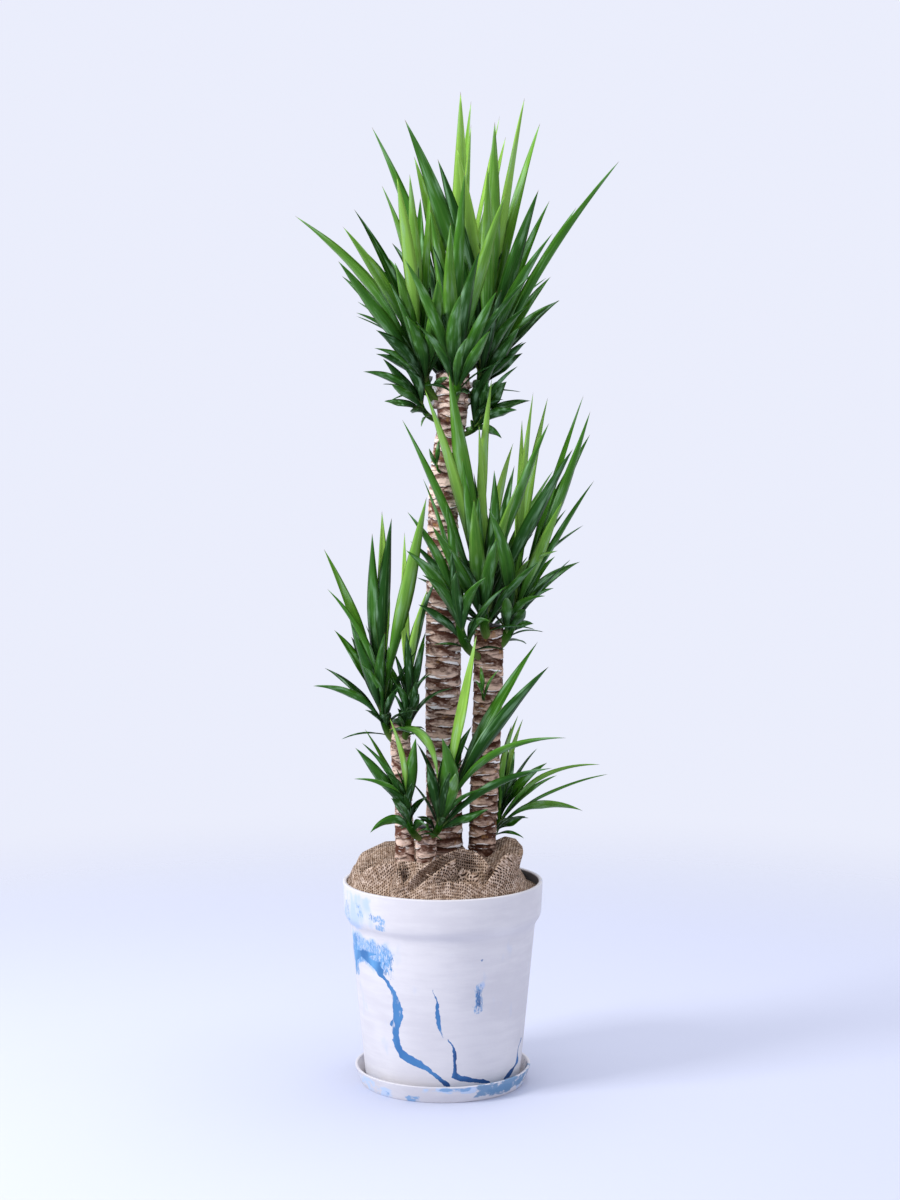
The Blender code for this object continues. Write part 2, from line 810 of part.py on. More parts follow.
class Blade:
    """A tapering folded leaf on a curve from the stem to its tip."""

    def __init__(self, head, share, tip, width, bow, face):
        on_axis = stem_point(head, share)
        out = Vector((tip.x - on_axis.x, tip.y - on_axis.y, 0.0))
        out.normalize()
        self.root = on_axis + out * (ROOT_DEPTH * head["stem"] * MM)
        self.tip = tip
        self.width = width
        chord = tip - self.root
        self.length = chord.length
        lift = UP * BOW_UP - out * BOW_IN
        lift -= lift.project(chord)
        self.middle = (self.root + tip) / 2 + lift.normalized() * 2 * bow
        # the width runs round the stem at the root and turns part way to the eye further out
        side = UP.cross(out)
        inner = chord.cross(side).normalized()
        inner = inner if inner.dot(UP - out) > 0 else -inner
        view = (EYE - tip).normalized()
        wanted = view if chord.y > 0 else -view
        wanted -= wanted.project(chord)
        self.inner_root = inner
        self.inner_tip = inner.lerp(wanted.normalized(), face).normalized()

    def point(self, t):
        return self.root * (1 - t) ** 2 + self.middle * 2 * t * (1 - t) + self.tip * t**2

    def frame(self, t):
        """Point, width direction and inner side of the blade at t."""
        along_it = (self.middle - self.root) * (1 - t) + (self.tip - self.middle) * t
        inner = self.inner_root.lerp(self.inner_tip, min(1.0, TWIST * t))
        inner = (inner - inner.project(along_it)).normalized()
        return self.point(t), along_it.cross(inner).normalized(), inner

    def corners(self, grow=0.0, start=0.0):
        profile = BLADE_PROFILE if self.length > SHORT_BLADE else SHORT_PROFILE
        made = []
        for t, share in profile:
            middle, side, inner = self.frame(max(t, start))
            half = 0.5 * self.width * share + grow
            lift = inner * (FOLD * self.width * share)
            thick = inner * (0.5 * BLADE_THICK + grow)
            across = side * half
            made += [middle - across + lift, middle + thick, middle + across + lift, middle - thick]
        made.append(self.tip + (self.tip - self.middle).normalized() * grow)
        return made

    def faces(self):
        count = len(BLADE_PROFILE if self.length > SHORT_BLADE else SHORT_PROFILE)
        made = [(0, 1, 3), (1, 2, 3)]
        for k in range(count - 1):
            a, b = 4 * k, 4 * k + 4
            for edge, ridge in ((0, 1), (0, 3), (2, 1), (2, 3)):
                made.append((a + edge, a + ridge, b + ridge))
                made.append((a + edge, b + ridge, b + edge))
        last, tip = 4 * count - 4, 4 * count
        for edge, ridge in ((0, 1), (0, 3), (2, 1), (2, 3)):
            made.append((last + edge, last + ridge, tip))
        return made

    def room_taken(self):
        """Corners and faces of the blade with its clearance, without its root."""
        return self.corners(CLEARANCE, BLADE_CLEAR_FROM), self.faces()


def box_of(points):
    low = [min(p[k] for p in points) for k in range(3)]
    high = [max(p[k] for p in points) for k in range(3)]
    return low, high


def apart(a, b):
    return any(a[1][k] < b[0][k] or b[1][k] < a[0][k] for k in range(3))


class Room:
    """What stands where, so that each new blade is kept clear of every other node."""

    def __init__(self):
        self.taken = []

    def add(self, node, corners, faces):
        self.taken.append((node, box_of(corners), BVHTree.FromPolygons(corners, faces)))

    def clear(self, node, blade):
        box = box_of(blade.corners(CLEARANCE))
        tree = None
        for other, taken_box, taken in self.taken:
            if other == node or apart(box, taken_box):
                continue
            tree = tree or BVHTree.FromPolygons(*blade.room_taken())
            if tree.overlap(taken):
                return False
        return True


def fitted(room, name, head, share, tip, width, bow, face):
    """The blade turned aside as little as keeps it clear, or None."""
    heart = head["heart_at"]
    for shorter in SHORTER:
        for far in ASIDE:
            for way in WAYS if far else WAYS[:1]:
                end = heart.lerp(tip, shorter) + Vector(way) * far
                blade = Blade(head, share, end, width, bow, face)
                if room.clear(name, blade):
                    room.add(name, *blade.room_taken())
                    return blade
    return None


def stem_rings(head, grow=0.0):
    """Rings round a stem, from inside the cane to a blunt end above the heart."""
    radius = head["stem"] * MM
    rings = []
    for share, wide in STEM_PROFILE:
        middle = stem_point(head, share)
        ahead = stem_point(head, share + 0.02) - stem_point(head, share - 0.02)
        side = ahead.cross(Vector((0.3, 1, 0.1))).normalized()
        other = ahead.cross(side).normalized()
        ring = []
        for k in range(STEM_SIDES):
            angle = 2 * math.pi * k / STEM_SIDES
            ring.append(middle + (side * math.cos(angle) + other * math.sin(angle)) * (radius * wide + grow))
        rings.append(ring)
    return rings


def fill_tips(head, draw):
    """Tips for the leaves on the side turned away, by the golden angle."""
    count, first, last, length = head["fill"]
    for k in range(count):
        bearing = math.radians(first + (last - first) * ((k + 0.5) * GOLDEN % 1.0))
        rise = STEEPEST + (FLATTEST - STEEPEST) * (k + 0.5) / count
        rise = math.radians(rise + draw.uniform(-RISE_SPREAD, RISE_SPREAD))
        reach = length * CM * draw.uniform(*REACH_SPREAD)
        reach *= FLAT_REACH + (1 - FLAT_REACH) * math.sin(rise)
        flat = reach * math.cos(rise)
        tip = Vector((flat * math.cos(bearing), flat * math.sin(bearing), reach * math.sin(rise)))
        yield head["heart_at"] + tip


def root_shares(wanted):
    """How far up its stem each blade is rooted: the flattest lowest, the steepest at the top."""
    shares = [0.0] * len(wanted)
    for name, head in HEADS.items():
        own = [k for k, row in enumerate(wanted) if row[0] == name]
        own.sort(key=lambda k: (wanted[k][1] - head["heart_at"]).normalized().z)
        for rank, k in enumerate(own):
            shares[k] = LEAFY_FROM + (LEAFY_TO - LEAFY_FROM) * rank / max(1, len(own) - 1)
    return shares


def plan_leaves():
    """Every head's blades, the seen ones first, each clear of all other nodes."""
    room = Room()
    for name, rows in CANES.items():
        room.add(name, *sleeve(rows, SLEEVE + 0.001))
    rings = []
    for r in CLOTH_RINGS:
        ring = circle(r, CLOTH_CLEARANCE, GRID_SIDES)
        rings.append([p + UP * cloth_height(p.x, p.y) for p in ring])
    rings.append(circle(RIM_R + CLOTH_CLEARANCE, RIM_TOP, GRID_SIDES))
    rings.append(circle(SAUCER_FOOT_R, 0.0, GRID_SIDES))
    room.add("burlap", *skin(rings))
    for name, head in HEADS.items():
        head["foot_at"] = Vector(head["foot"]) * CM
        head["heart_at"] = Vector(head["heart"]) * CM
        room.add(name, *skin(stem_rings(head, CLEARANCE)))
    draw = random.Random(FILL_SEED)
    wanted = []
    for name, head in HEADS.items():
        for x, z, depth, width, bow in head["leaves"]:
            tip = seen(x * CM, z * CM, depth * CM)
            wanted.append((name, tip, width * MM, bow * CM, draw.uniform(*FACING[0])))
    for name, head in HEADS.items():
        for tip in fill_tips(head, draw):
            width = draw.uniform(*FILL_WIDTH) * MM * min(1.0, head["fill"][3] / FULL_WIDTH_FROM)
            wanted.append((name, tip, width, FILL_BOW * CM, draw.uniform(*FACING[1])))
    blades = {name: [] for name in HEADS}
    shares = root_shares(wanted)
    for (name, tip, width, bow, face), share in zip(wanted, shares):
        blade = fitted(room, name, HEADS[name], share, tip, width, bow, face)
        if blade:
            blades[name].append(blade)
    return blades


def make_head(name, head, blades, finish):
    """A leafy head: a stem with its blades fused on, seated against its cane."""
    made = solid(name, *skin(stem_rings(head)), finish, smooth=False)
    pieces = []
    for k, blade in enumerate(blades):
        pieces.append(solid(f"blade_{k}", blade.corners(), blade.faces(), finish, smooth=False))
    fuse(made, pieces)
    seat = make_seat(head["cane"], CANES[head["cane"]])
    return keep_largest(cut(made, [seat]))


def main():
    for old in list(bpy.data.objects):
        bpy.data.objects.remove(old)
    make_saucer()
    make_pot()
    make_soil()
    make_cloth()
    for name, rows in CANES.items():
        make_cane(name, rows, material(name, "bark"))
        seal = name.replace("cane", "seal")
        make_seal(seal, rows, material(seal, "seal"))
    blades = plan_leaves()
    for name, head in HEADS.items():
        make_head(name, head, blades[name], material(name, "leaf"))


main()
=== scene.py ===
"""Looks of the potted yucca: leaves, bark, cloth, marbled pot and saucer, light and camera.

Metres, +Z up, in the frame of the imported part. -Y is the side that the plant is shown from.
"""

import math
import random

import bpy
import numpy as np
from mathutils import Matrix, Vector
from mathutils import noise
from mathutils.bvhtree import BVHTree


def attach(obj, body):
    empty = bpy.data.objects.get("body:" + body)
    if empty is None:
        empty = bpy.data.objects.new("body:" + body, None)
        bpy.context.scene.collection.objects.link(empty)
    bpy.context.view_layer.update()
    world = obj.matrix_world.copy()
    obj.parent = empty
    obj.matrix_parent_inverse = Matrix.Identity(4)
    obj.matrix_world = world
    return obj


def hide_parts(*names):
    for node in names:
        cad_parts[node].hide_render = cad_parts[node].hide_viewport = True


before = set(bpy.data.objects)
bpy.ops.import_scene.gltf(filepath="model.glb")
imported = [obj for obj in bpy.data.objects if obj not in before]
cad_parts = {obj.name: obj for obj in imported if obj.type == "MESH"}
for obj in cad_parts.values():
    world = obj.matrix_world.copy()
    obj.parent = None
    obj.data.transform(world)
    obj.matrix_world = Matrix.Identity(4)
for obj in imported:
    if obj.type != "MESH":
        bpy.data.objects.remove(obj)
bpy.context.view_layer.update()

CM = 0.01
MM = 0.001
UP = Vector((0, 0, 1))
BODY = "root"

# Camera: lens in mm on a 36 mm sensor, and tilt below level in degrees
EYE = Vector((0.012, -3.587, 1.0795))
LENS = 66
SENSOR = 36
TILT_DOWN = 4.48

# Pot and saucer, as radius and height of the turned profile
SAUCER_TOP_R = 0.1458
SAUCER_FOOT_R = 0.135
SAUCER_HEIGHT = 0.0285
SAUCER_FLOOR = 0.005
RIM_R = 0.165
RIM_TOP = 0.336
RIM_FOOT = 0.281
SHOULDER_R = 0.1525
SHOULDER_Z = 0.266
POT_FOOT_R = 0.1275
SAUCER_WALL = 0.0045
LIP = 0.0066
RIM_DRAFT = 0.0025
POT_WALL = 0.007
POT_FLOOR = 0.013
COVE = 0.005
FOOT_RING = 0.015
RECESS = 0.003
DRAIN_R = 0.012
GAP = 0.0004

# Cloth over the soil
SOIL_R = 0.156
CLOTH_RINGS = (0.045, 0.080, 0.106, 0.134, SOIL_R)
CLOTH_EDGE = 0.334
CLOTH_RISE = 0.045
CLOTH_FALL = 2.4
GRID_SIDES = 28
# Humps and dips of the cloth: height, x, y, reach in x and in y, and how flat on top
HUMPS = (
    (0.016, -0.095, 0, 0.04, 0.07, 2), (0.045, 0.106, 0.015, 0.034, 0.045, 4),
    (0.01, 0.02, -0.12, 0.05, 0.025, 2), (0.008, 0.08, -0.085, 0.03, 0.03, 2),
    (-0.014, 0.155, -0.01, 0.018, 0.06, 2),
)

# Canes: each row is x, y, z and radius of the middle line, upwards
BURIED = 0.20
SLEEVE = 0.0017
SLEEVE_STEP = 0.07
SLEEVE_CLEARANCE = 0.001
SEAL = 0.003
CANE_SIDES = 9
CANES = {
    "cane_tall": (
        (0.004, 0, BURIED, 0.029), (0.003, 0, 0.4, 0.0295), (0.0005, 0, 0.63, 0.029),
        (0.001, 0, 0.77, 0.0285), (0.001, 0, 0.96, 0.024), (0.005, 0, 1.03, 0.023),
        (0.014, 0, 1.08, 0.0235), (0.016, 0, 1.13, 0.027), (0.016, 0, 1.168, 0.028),
    ),
    "cane_middle": (
        (0.06, 0.005, BURIED, 0.0225), (0.0645, 0.005, 0.38, 0.0228), (0.074, 0.005, 0.63, 0.024),
        (0.076, 0.005, 0.755, 0.0245),
    ),
    "cane_left": (
        (-0.06, -0.045, BURIED, 0.016), (-0.0615, -0.045, 0.38, 0.016), (-0.0645, -0.045, 0.48, 0.0145),
        (-0.068, -0.045, 0.56, 0.0165), (-0.07, -0.045, 0.605, 0.017),
    ),
    "cane_short": (
        (-0.025, -0.06, BURIED, 0.016), (-0.026, -0.06, 0.37, 0.0165), (-0.028, -0.06, 0.434, 0.017),
    ),
    "cane_back": ((0.07, 0.058, BURIED, 0.0165), (0.0725, 0.06, 0.408, 0.0165)),
}

# Blades as the part has them
BLADE_THICK = 0.0018
BLADE_PROFILE = ((0.0, 0.26), (0.18, 0.46), (0.50, 1.0), (0.77, 0.72))
SHORT_PROFILE = ((0.0, 0.26), (0.42, 1.0), (0.74, 0.70))
SHORT_BLADE = 0.28
LEAFY_FROM = 0.36
LEAFY_TO = 0.98
STEM_SIDES = 6
STEM_PROFILE = ((0.0, 0.8), (0.3, 0.95), (0.55, 1.0), (0.85, 0.85), (1.03, 0.5))
STEM_TURN = 0.25
STEM_STEP = 0.02
ROOT_DEPTH = 0.45
FOLD = 0.10
BOW_UP = 0.85
BOW_IN = 0.5
TWIST = 1.8
BLADE_CLEAR_FROM = 0.10
CLEARANCE = 0.0013
CLOTH_CLEARANCE = 0.003
FILL_SEED = 7
FILL_WIDTH = (20, 29)
FILL_BOW = 1.2
FULL_WIDTH_FROM = 22
STEEPEST = 72
FLATTEST = 6
RISE_SPREAD = 6
REACH_SPREAD = (0.8, 1.05)
FLAT_REACH = 0.72
GOLDEN = 0.618034
FACING = ((0.35, 0.75), (0.0, 0.4))
ASIDE = (0.0, 0.012, 0.022, 0.034, 0.048, 0.065, 0.085, 0.11)
WAYS = ((0, -1, 0), (0, 1, 0), (0.3, -0.8, 0.4), (-0.3, 0.8, 0.4), (0.4, 0.2, -0.8), (-0.5, -0.2, 0.7))
SHORTER = (1.0, 0.85, 0.7)

# The finer blades: rings along, places across the upper side and right round, thickness at the midrib
# and the edge, fold, and how far they clasp, ripple, sway and turn
BLADE_RINGS = 20
ACROSS = (-1.0, -0.5, 0.0, 0.5, 1.0)
ROUND_BLADE = [(s, 0.0) for s in ACROSS] + [(s, 1.0) for s in ACROSS[-2:0:-1]]
# Where a fine blade is widest, how wide its root is beside that, and how its tip tapers
WIDEST_AT = 0.50
SHORT_WIDEST_AT = 0.44
ROOT_SHARE = 0.30
TAPER = 1.6
RIB_THICK = 0.0010
EDGE_THICK = 0.0004
FINE_FOLD = 0.22
CLASP = 0.22
RIPPLE = 0.012
# One ripple of a blade's edge, in radians, and how many there are
WAVE = 6.28
RIPPLES = (2.0, 4.0)
SWAY = 0.4
TURNED = 26
# How fast a blade turns, stops clasping and starts to ripple on its way out, and its channel's curve
TURN_EASE = 1.4
CLASP_EASE = 4
RIPPLE_EASE = 3
CHANNEL = 1.2
STEM_RINGS = 16
FINE_STEM_SIDES = 14
LEAF_VALUES = ("tone", "down", "over", "under", "chance")

# Heads: foot on the cane and heart at the top of the stem (x, y, z in cm), stem radius in mm,
# leaves as tip x, tip z and depth in cm, width in mm, bow in cm and tone from 0, dark, to 9, bright,
# which holds each leaf's own colour and also painted light, shade and sheen,
# and the leaves on the side turned away as count, first and last bearing in degrees, and length in cm
HEADS = {
    "head_tall_left": {
        "foot": (-0.2, -0.5, 111.5), "heart": (-3.7, -1, 121.5), "stem": 11, "fill": (6, 70, 150, 24),
        "leaves": (
            (-23.8, 142, -9, 31, 1.5, 5), (-16.9, 134.8, -14, 29, 1.2, 4), (-16.3, 132.4, 4, 24, 1.2, 2),
            (-16.1, 140.3, -4, 26, 1, 5), (-14.3, 143.1, 3, 28, 1, 2), (-9.8, 146.9, -6, 24, 0.8, 5),
            (-7.4, 148.3, -9, 28, 0.6, 8), (-5.3, 148.7, -2, 24, 0.5, 6), (-2, 148.2, 2, 19, 0.4, 5),
            (-7.7, 134.6, -15, 22, 1, 4), (-8.6, 131.4, -12, 19, 0.8, 2), (-0.8, 131.8, -18, 31, 1.2, 4),
            (-10.8, 123.7, -12, 26, 1.2, 2), (-11.1, 120.8, -7, 22, 1, 3), (-14, 126.5, -4, 24, 1.4, 3),
            (-6, 126, -14, 24, 1, 4),
        ),
    },
    "head_tall_front": {
        "foot": (1.6, -1.6, 111.5), "heart": (2.4, -6.2, 118.5), "stem": 10, "fill": (3, 200, 340, 20),
        "leaves": (
            (-6.1, 135, -19, 27, 1, 4), (1.3, 140.9, -17, 31, 0.8, 5), (6, 136.4, -19, 31, 0.8, 2),
            (3, 129.5, -22, 31, 1.5, 4), (7.7, 123.6, -20, 26, 1.5, 3), (10.2, 145.6, -14, 31, 0.8, 6),
            (-2, 143, -13, 26, 0.6, 5), (3.6, 149, -11, 26, 0.4, 3), (-4.2, 124.5, -19, 26, 1.2, 3),
            (8.8, 130, -18, 26, 1, 3),
        ),
    },
    "head_tall_right": {
        "foot": (3, 0, 111.5), "heart": (7, 0.6, 120.2), "stem": 11, "fill": (5, 25, 105, 24),
        "leaves": (
            (-6.1, 157.4, -8, 31, 2, 3), (-0.8, 151.1, -6, 27, 1.4, 2), (2.3, 153, -2, 25, 0.8, 7),
            (8.4, 157, -4, 27, 0.4, 5), (7.3, 149.9, -10, 25, 0.5, 6), (13.2, 160.8, 0, 33, 0.8, 8),
            (15.7, 156.8, 4, 25, 0.8, 5), (15.5, 146.2, -5, 25, 0.8, 2), (17.3, 144.5, 6, 18, 0.8, 3),
            (28.5, 150.8, -4, 29, 0.6, 4), (21.6, 143.4, 5, 23, 0.8, 3), (17.8, 139.3, -9, 26, 1, 3),
            (17.5, 132.3, 4, 25, 1.2, 3), (14, 127.7, -7, 22, 1.2, 2), (12.5, 124.2, -10, 22, 1, 2),
            (13.6, 121.8, -5, 19, 1, 1), (13, 120, 5, 19, 1, 1),
        ),
    },
    "head_tall_back": {
        "foot": (1.4, 1.6, 111.5), "heart": (1.2, 6, 121.5), "stem": 11, "fill": (11, 15, 165, 27),
        "leaves": (
            (-11.4, 156.2, 3, 31, 1.8, 4), (2.9, 161.8, 4, 28, 0.3, 7), (4.6, 160.3, 7, 17, 0.3, 7),
            (4.6, 156.6, 2, 16, 0.3, 8), (-4.6, 151.5, 8, 25, 0.6, 6), (9, 150, 10, 25, 0.6, 7),
            (9.2, 157.9, 6, 17, 0.3, 8), (10.2, 154.7, 9, 17, 0.3, 8),
        ),
    },
    "head_tall_low_left": {
        "foot": (0.6, -0.6, 108.6), "heart": (-3.4, -2.4, 112.2), "stem": 6, "fill": (2, 120, 200, 9),
        "leaves": (
            (-12.9, 117, -5, 16, 1, 3), (-8.5, 115.1, -8, 17, 0.8, 3), (-5.3, 110.6, -9, 15, 0.8, 2),
            (-3.5, 108.1, -8, 13, 0.8, 3), (-9.5, 112.2, 3, 15, 0.8, 2),
        ),
    },
    "head_tall_low_right": {
        "foot": (1.8, -0.2, 106.4), "heart": (6.2, -1.6, 109.8), "stem": 6, "fill": (2, -20, 60, 9),
        "leaves": (
            (12.2, 117.9, -2, 18, 0.8, 2), (12.1, 110.8, -5, 19, 0.8, 2), (14.3, 112.3, 3, 15, 0.8, 2),
            (4.8, 107.5, -7, 19, 1, 3), (9.6, 106.2, -4, 17, 1, 2),
        ),
    },
    "head_middle_left": {
        "foot": (6.2, -0.4, 70.4), "heart": (2.6, -6.6, 78.6), "stem": 10, "fill": (2, 230, 330, 14),
        "leaves": (
            (-3.2, 99.7, -10, 14, 0.6, 3), (-5.8, 94.3, -10, 26, 0.8, 3), (-5.3, 89.5, -8, 24, 0.8, 2),
            (-6, 88, -14, 29, 1, 3), (-4, 79.1, -11, 25, 1.2, 2), (0.5, 96, -12, 20, 0.4, 3),
            (7.1, 83.6, -15, 26, 0.8, 3), (7.8, 76.3, -10, 20, 2, 3), (-3.4, 84, -16, 24, 1.2, 2),
            (2.2, 84.5, -18, 26, 1.2, 2),
        ),
    },
    "head_middle_centre": {
        "foot": (7.4, -0.6, 73.4), "heart": (6.4, -3.8, 82.5), "stem": 11, "fill": (2, 240, 320, 18),
        "leaves": (
            (1, 117, -11, 33, 0.8, 4), (-3, 114.4, -9, 25, 0.6, 7), (8, 116, -4, 20, 0.4, 9),
            (5.9, 108.5, -6, 18, 0.3, 8), (17.3, 108.7, -7, 29, 0.8, 4), (21.2, 104.5, -9, 31, 0.8, 2),
            (8.4, 101.1, -9, 26, 0.5, 3), (5.1, 96.3, -14, 29, 0.8, 4), (-6.6, 109.3, -10, 24, 0.6, 4),
            (-1.7, 92.3, -14, 24, 0.8, 3), (3.2, 103, -10, 26, 0.4, 4), (12.4, 99, -11, 26, 0.8, 5),
            (8.9, 90, -15, 25, 1, 4),
        ),
    },
    "head_middle_right": {
        "foot": (8, 0.4, 71.4), "heart": (11.7, -0.6, 80), "stem": 11, "fill": (3, 10, 60, 22),
        "leaves": (
            (14.7, 113.7, -2, 28, 0.4, 8), (17.1, 112.9, 3, 24, 0.4, 7), (12.9, 109.2, 5, 16, 0.4, 7),
            (22.9, 113.2, 3, 17, 0.4, 4), (24, 110.6, -3, 26, -0.5, 3), (24, 106.9, 5, 22, 0.6, 3),
            (24.7, 99.4, -1, 18, 0.8, 3), (18.8, 87.9, -6, 18, 4, 6), (18.4, 87, 3, 20, 1.6, 3),
            (18.2, 81.8, 0, 16, 1.4, 3), (16.8, 80.5, -6, 20, 1.4, 3), (13.6, 78.1, -8, 20, 1.4, 2),
            (14.9, 75.9, 3, 16, 1, 2), (7.4, 95.1, -12, 27, 0.8, 3), (10.4, 80.2, -12, 20, 1.2, 3),
            (19.5, 96, -8, 24, 0.8, 6),
        ),
    },
    "head_middle_back": {
        "foot": (7.6, 1.2, 72.4), "heart": (7.4, 6, 81), "stem": 10, "fill": (10, 15, 165, 23),
        "leaves": ((11.5, 105.5, 6, 22, 0.6, 8), (18, 101, 9, 24, 0.8, 4)),
    },
    "head_left_left": {
        "foot": (-7.6, -4.7, 57), "heart": (-9.8, -5.4, 65), "stem": 9, "fill": (5, 70, 170, 17),
        "leaves": (
            (-19.4, 88.2, -5, 21, 0.5, 4), (-18.9, 81.7, -8, 19, 2, 3), (-11.5, 90.8, -7, 27, 0.3, 2),
            (-9.9, 94.4, -4, 22, 0.2, 9), (-8.3, 93.3, -6, 25, 0.3, 2), (-2.6, 96.7, -10, 25, 0.6, 6),
            (-15.2, 76.6, -11, 27, -1.2, 2), (-21.3, 65.7, -7, 23, 2.2, 3), (-0.8, 50.1, -13, 17, 3.4, 6),
            (-9.4, 74.5, -16, 18, 1, 3), (-13.5, 69.5, -13, 16, 1.2, 3), (-9.4, 60.8, -10, 19, 1, 2),
        ),
    },
    "head_left_right": {
        "foot": (-6.6, -4.8, 57), "heart": (-5.4, -7, 64.4), "stem": 8, "fill": (4, 20, 160, 15),
        "leaves": (
            (-6.2, 91, -5, 16, 0.2, 9), (-0.6, 82, -8, 27, 1.4, 2), (-2.4, 81.7, -10, 15, 0.8, 7),
            (-6, 74.8, -13, 16, 0.8, 1), (-2.9, 72.8, -11, 16, 0.8, 1), (-1.9, 67.7, -11, 15, 1, 1),
            (-4.4, 66.4, -15, 15, 1.2, 1), (-7.6, 66, -14, 15, 1.2, 2), (-5.6, 62, -12, 14, 1.4, 1),
            (-7.4, 60.4, -11, 19, 1, 2),
        ),
    },
    "head_low_left": {
        "foot": (-3.2, -6.4, 41.4), "heart": (-5.6, -10, 47), "stem": 8, "fill": (2, 190, 260, 10),
        "leaves": (
            (-12.8, 58.6, -8, 19, 0.6, 5), (-13.3, 56.3, -11, 19, 0.8, 3), (-14.4, 55.5, -12, 23, 0.8, 2),
            (-13, 53.6, -9, 21, 0.8, 3), (-14.6, 50.3, -12, 21, 2, 4), (-10, 49.1, -14, 18, 0.8, 2),
            (-8.5, 47.1, -14, 17, 0.8, 2), (-12, 41.3, -12, 24, 1.6, 2), (-8.7, 60.4, -10, 19, 0.4, 7),
            (-4.4, 57.1, -12, 23, 0.4, 3), (-2.4, 42, -14, 21, 1.2, 3),
        ),
    },
    "head_low_front": {
        "foot": (-2.2, -6.2, 41.8), "heart": (-0.2, -9, 46.4), "stem": 8, "fill": (2, 270, 350, 12),
        "leaves": (
            (5.6, 74.3, -7, 18, 0.2, 7), (15.6, 73, -5, 25, 0.8, 2), (17.4, 68.9, -10, 29, 1.2, 1),
            (18, 52.1, -13, 23, 1.6, 2), (20.4, 57.1, -12, 16, 4.2, 5), (-0.1, 57.3, -19, 31, 0.6, 4),
            (2.2, 51.3, -17, 29, 0.8, 4), (7.6, 45.3, -12, 16, 0.6, 3), (4.8, 59.1, -6, 22, 0.4, 1),
            (2.8, 58.8, -6, 20, 0.4, 1), (-2.6, 53, -16, 20, 0.8, 2),
        ),
    },
    "head_low_back": {
        "foot": (7.3, 6, 38.8), "heart": (9.4, 6.2, 44.5), "stem": 8, "fill": (8, 20, 160, 16),
        "leaves": (
            (25.9, 52.7, 2, 18, 2.8, 6), (27.2, 51.1, 5, 16, 1.5, 4), (23.1, 45, 3, 18, 2.8, 4),
            (14.2, 43.8, 1, 16, 0.8, 1), (13.2, 45, 7, 16, 0.8, 2), (12.4, 60.9, 4, 20, 0.3, 6),
            (13.2, 60.3, 8, 16, 0.3, 7), (17.2, 53, 9, 18, 0.8, 3),
        ),
    },
    "sprout_middle": {
        "foot": (6.9, -0.4, 63.4), "heart": (6.5, -3.4, 65), "stem": 3, "fill": (0, 0, 0, 0),
        "leaves": ((6.2, 69, -4, 8, 0.2, 5), (9.3, 68.5, -4, 9, 0.2, 4), (5.3, 66.6, -4, 7, 0.2, 4)),
    },
    "sprout_tall": {
        "foot": (0.2, -0.4, 100.4), "heart": (-0.9, -3.4, 102), "stem": 3, "fill": (0, 0, 0, 0),
        "leaves": ((-2.2, 104.6, -4.2, 8, 0.2, 4), (-0.6, 106, -4.6, 8, 0.2, 4)),
    },
}
TINT_SEED = 5
# Dark tones of the leaves on the side turned away: painted shade, deep inside the crown
FILL_SHADE_TONES = (0.12, 0.42)
# Steps from the darkest tone to the brightest, and how many the tones above are lifted by
TONES = 9
TONE_LIFT = 0.6
# Tone of the stems, stripes round them and their twist, and the start and length of the stretch of
# a leaf that they are coloured like
STEM_TONE = 0.62
STEM_STRIPES = 2.5
STEM_SWIRL = 0.4
STEM_DOWN = (0.02, 0.22)
# Heads whose leaves are broader or slimmer than the part's plain blades
BROADER = {
    "head_tall_low_right": 1.45, "head_tall_low_left": 1.2, "head_tall_front": 0.76, "head_tall_left": 0.92,
    "head_middle_left": 0.82, "head_middle_centre": 0.88, "head_middle_right": 0.92, "head_left_right": 0.9,
}
BROAD_FROM = 0.075
STEM_SLIMMER = 0.22

# Leaf colours, from dark to bright, a painted sheen, the tint of the gloss, and the colours of the midrib,
# the underside, the base and the dry tip
LEAF_TONES = (
    (0, (0.001, 0.007, 0)), (0.3, (0.007, 0.042, 0.001)), (0.6, (0.062, 0.205, 0.012)),
    (1, (0.32, 0.57, 0.09)),
)
LEAF_PAINTED_SHEEN = (0.36, 0.57, 0.38)
LEAF_GLANCE = (0.22, 0.7, 0.16)
LEAF_RIB = (0.26, 0.46, 0.10)
LEAF_UNDER = (0.040, 0.120, 0.035)
LEAF_BASE = (0.26, 0.36, 0.09)
LEAF_TIP = (0.16, 0.09, 0.04)

# Leaves added between those of the part, as count, first and last share of the stem, rise in degrees,
# reach as a share of the head's own, width in mm and tones, kept dark as painted shade inside the crown
ADDED = (
    (7, (0.5, 0.97), (40, 82), (0.42, 0.76), (13, 20), (0, 0.26)),
    (5, (0.22, 0.55), (-6, 40), (0.24, 0.44), (10, 15), (0, 0.3)),
)
BARE = ("head_tall_low_left", "head_tall_low_right")
# Leaves that close the foot of the tall crown: share of the stem, then as in the heads
CLOSING = {
    "head_tall_back": (
        (0.3, -7.5, 127, 6, 26, 1, 2), (0.34, -3.5, 130, 8, 26, 1, 1), (0.3, 12, 125, 7, 26, 1, 1),
        (0.36, 8, 129.5, 9, 26, 1, 2),
    ),
    "head_tall_low_right": (
        (0.55, 8.6, 118.4, -3, 20, 0.8, 1), (0.75, 10.4, 115.4, 0, 20, 0.8, 2),
        (0.9, 7.4, 115.8, -6, 18, 0.5, 2), (0.45, 9.8, 112.6, -7, 17, 0.8, 1),
    ),
    "head_tall_low_left": ((0.6, -9.6, 119, -1, 17, 0.8, 2), (0.85, -6.6, 118, -6, 16, 0.6, 1)),
    "head_tall_left": ((0.42, -11.8, 118.4, -3, 20, 1, 2),),
    "head_tall_right": ((0.36, 10.8, 117.6, 3, 20, 1, 1), (0.4, 11.8, 119.6, -4, 20, 1, 2)),
}
ADDED_SEED = 11
ADDED_BOW = 0.006
# Spread of their rise and bearing, in degrees
ADDED_RISE = 8
ADDED_TURN = 15
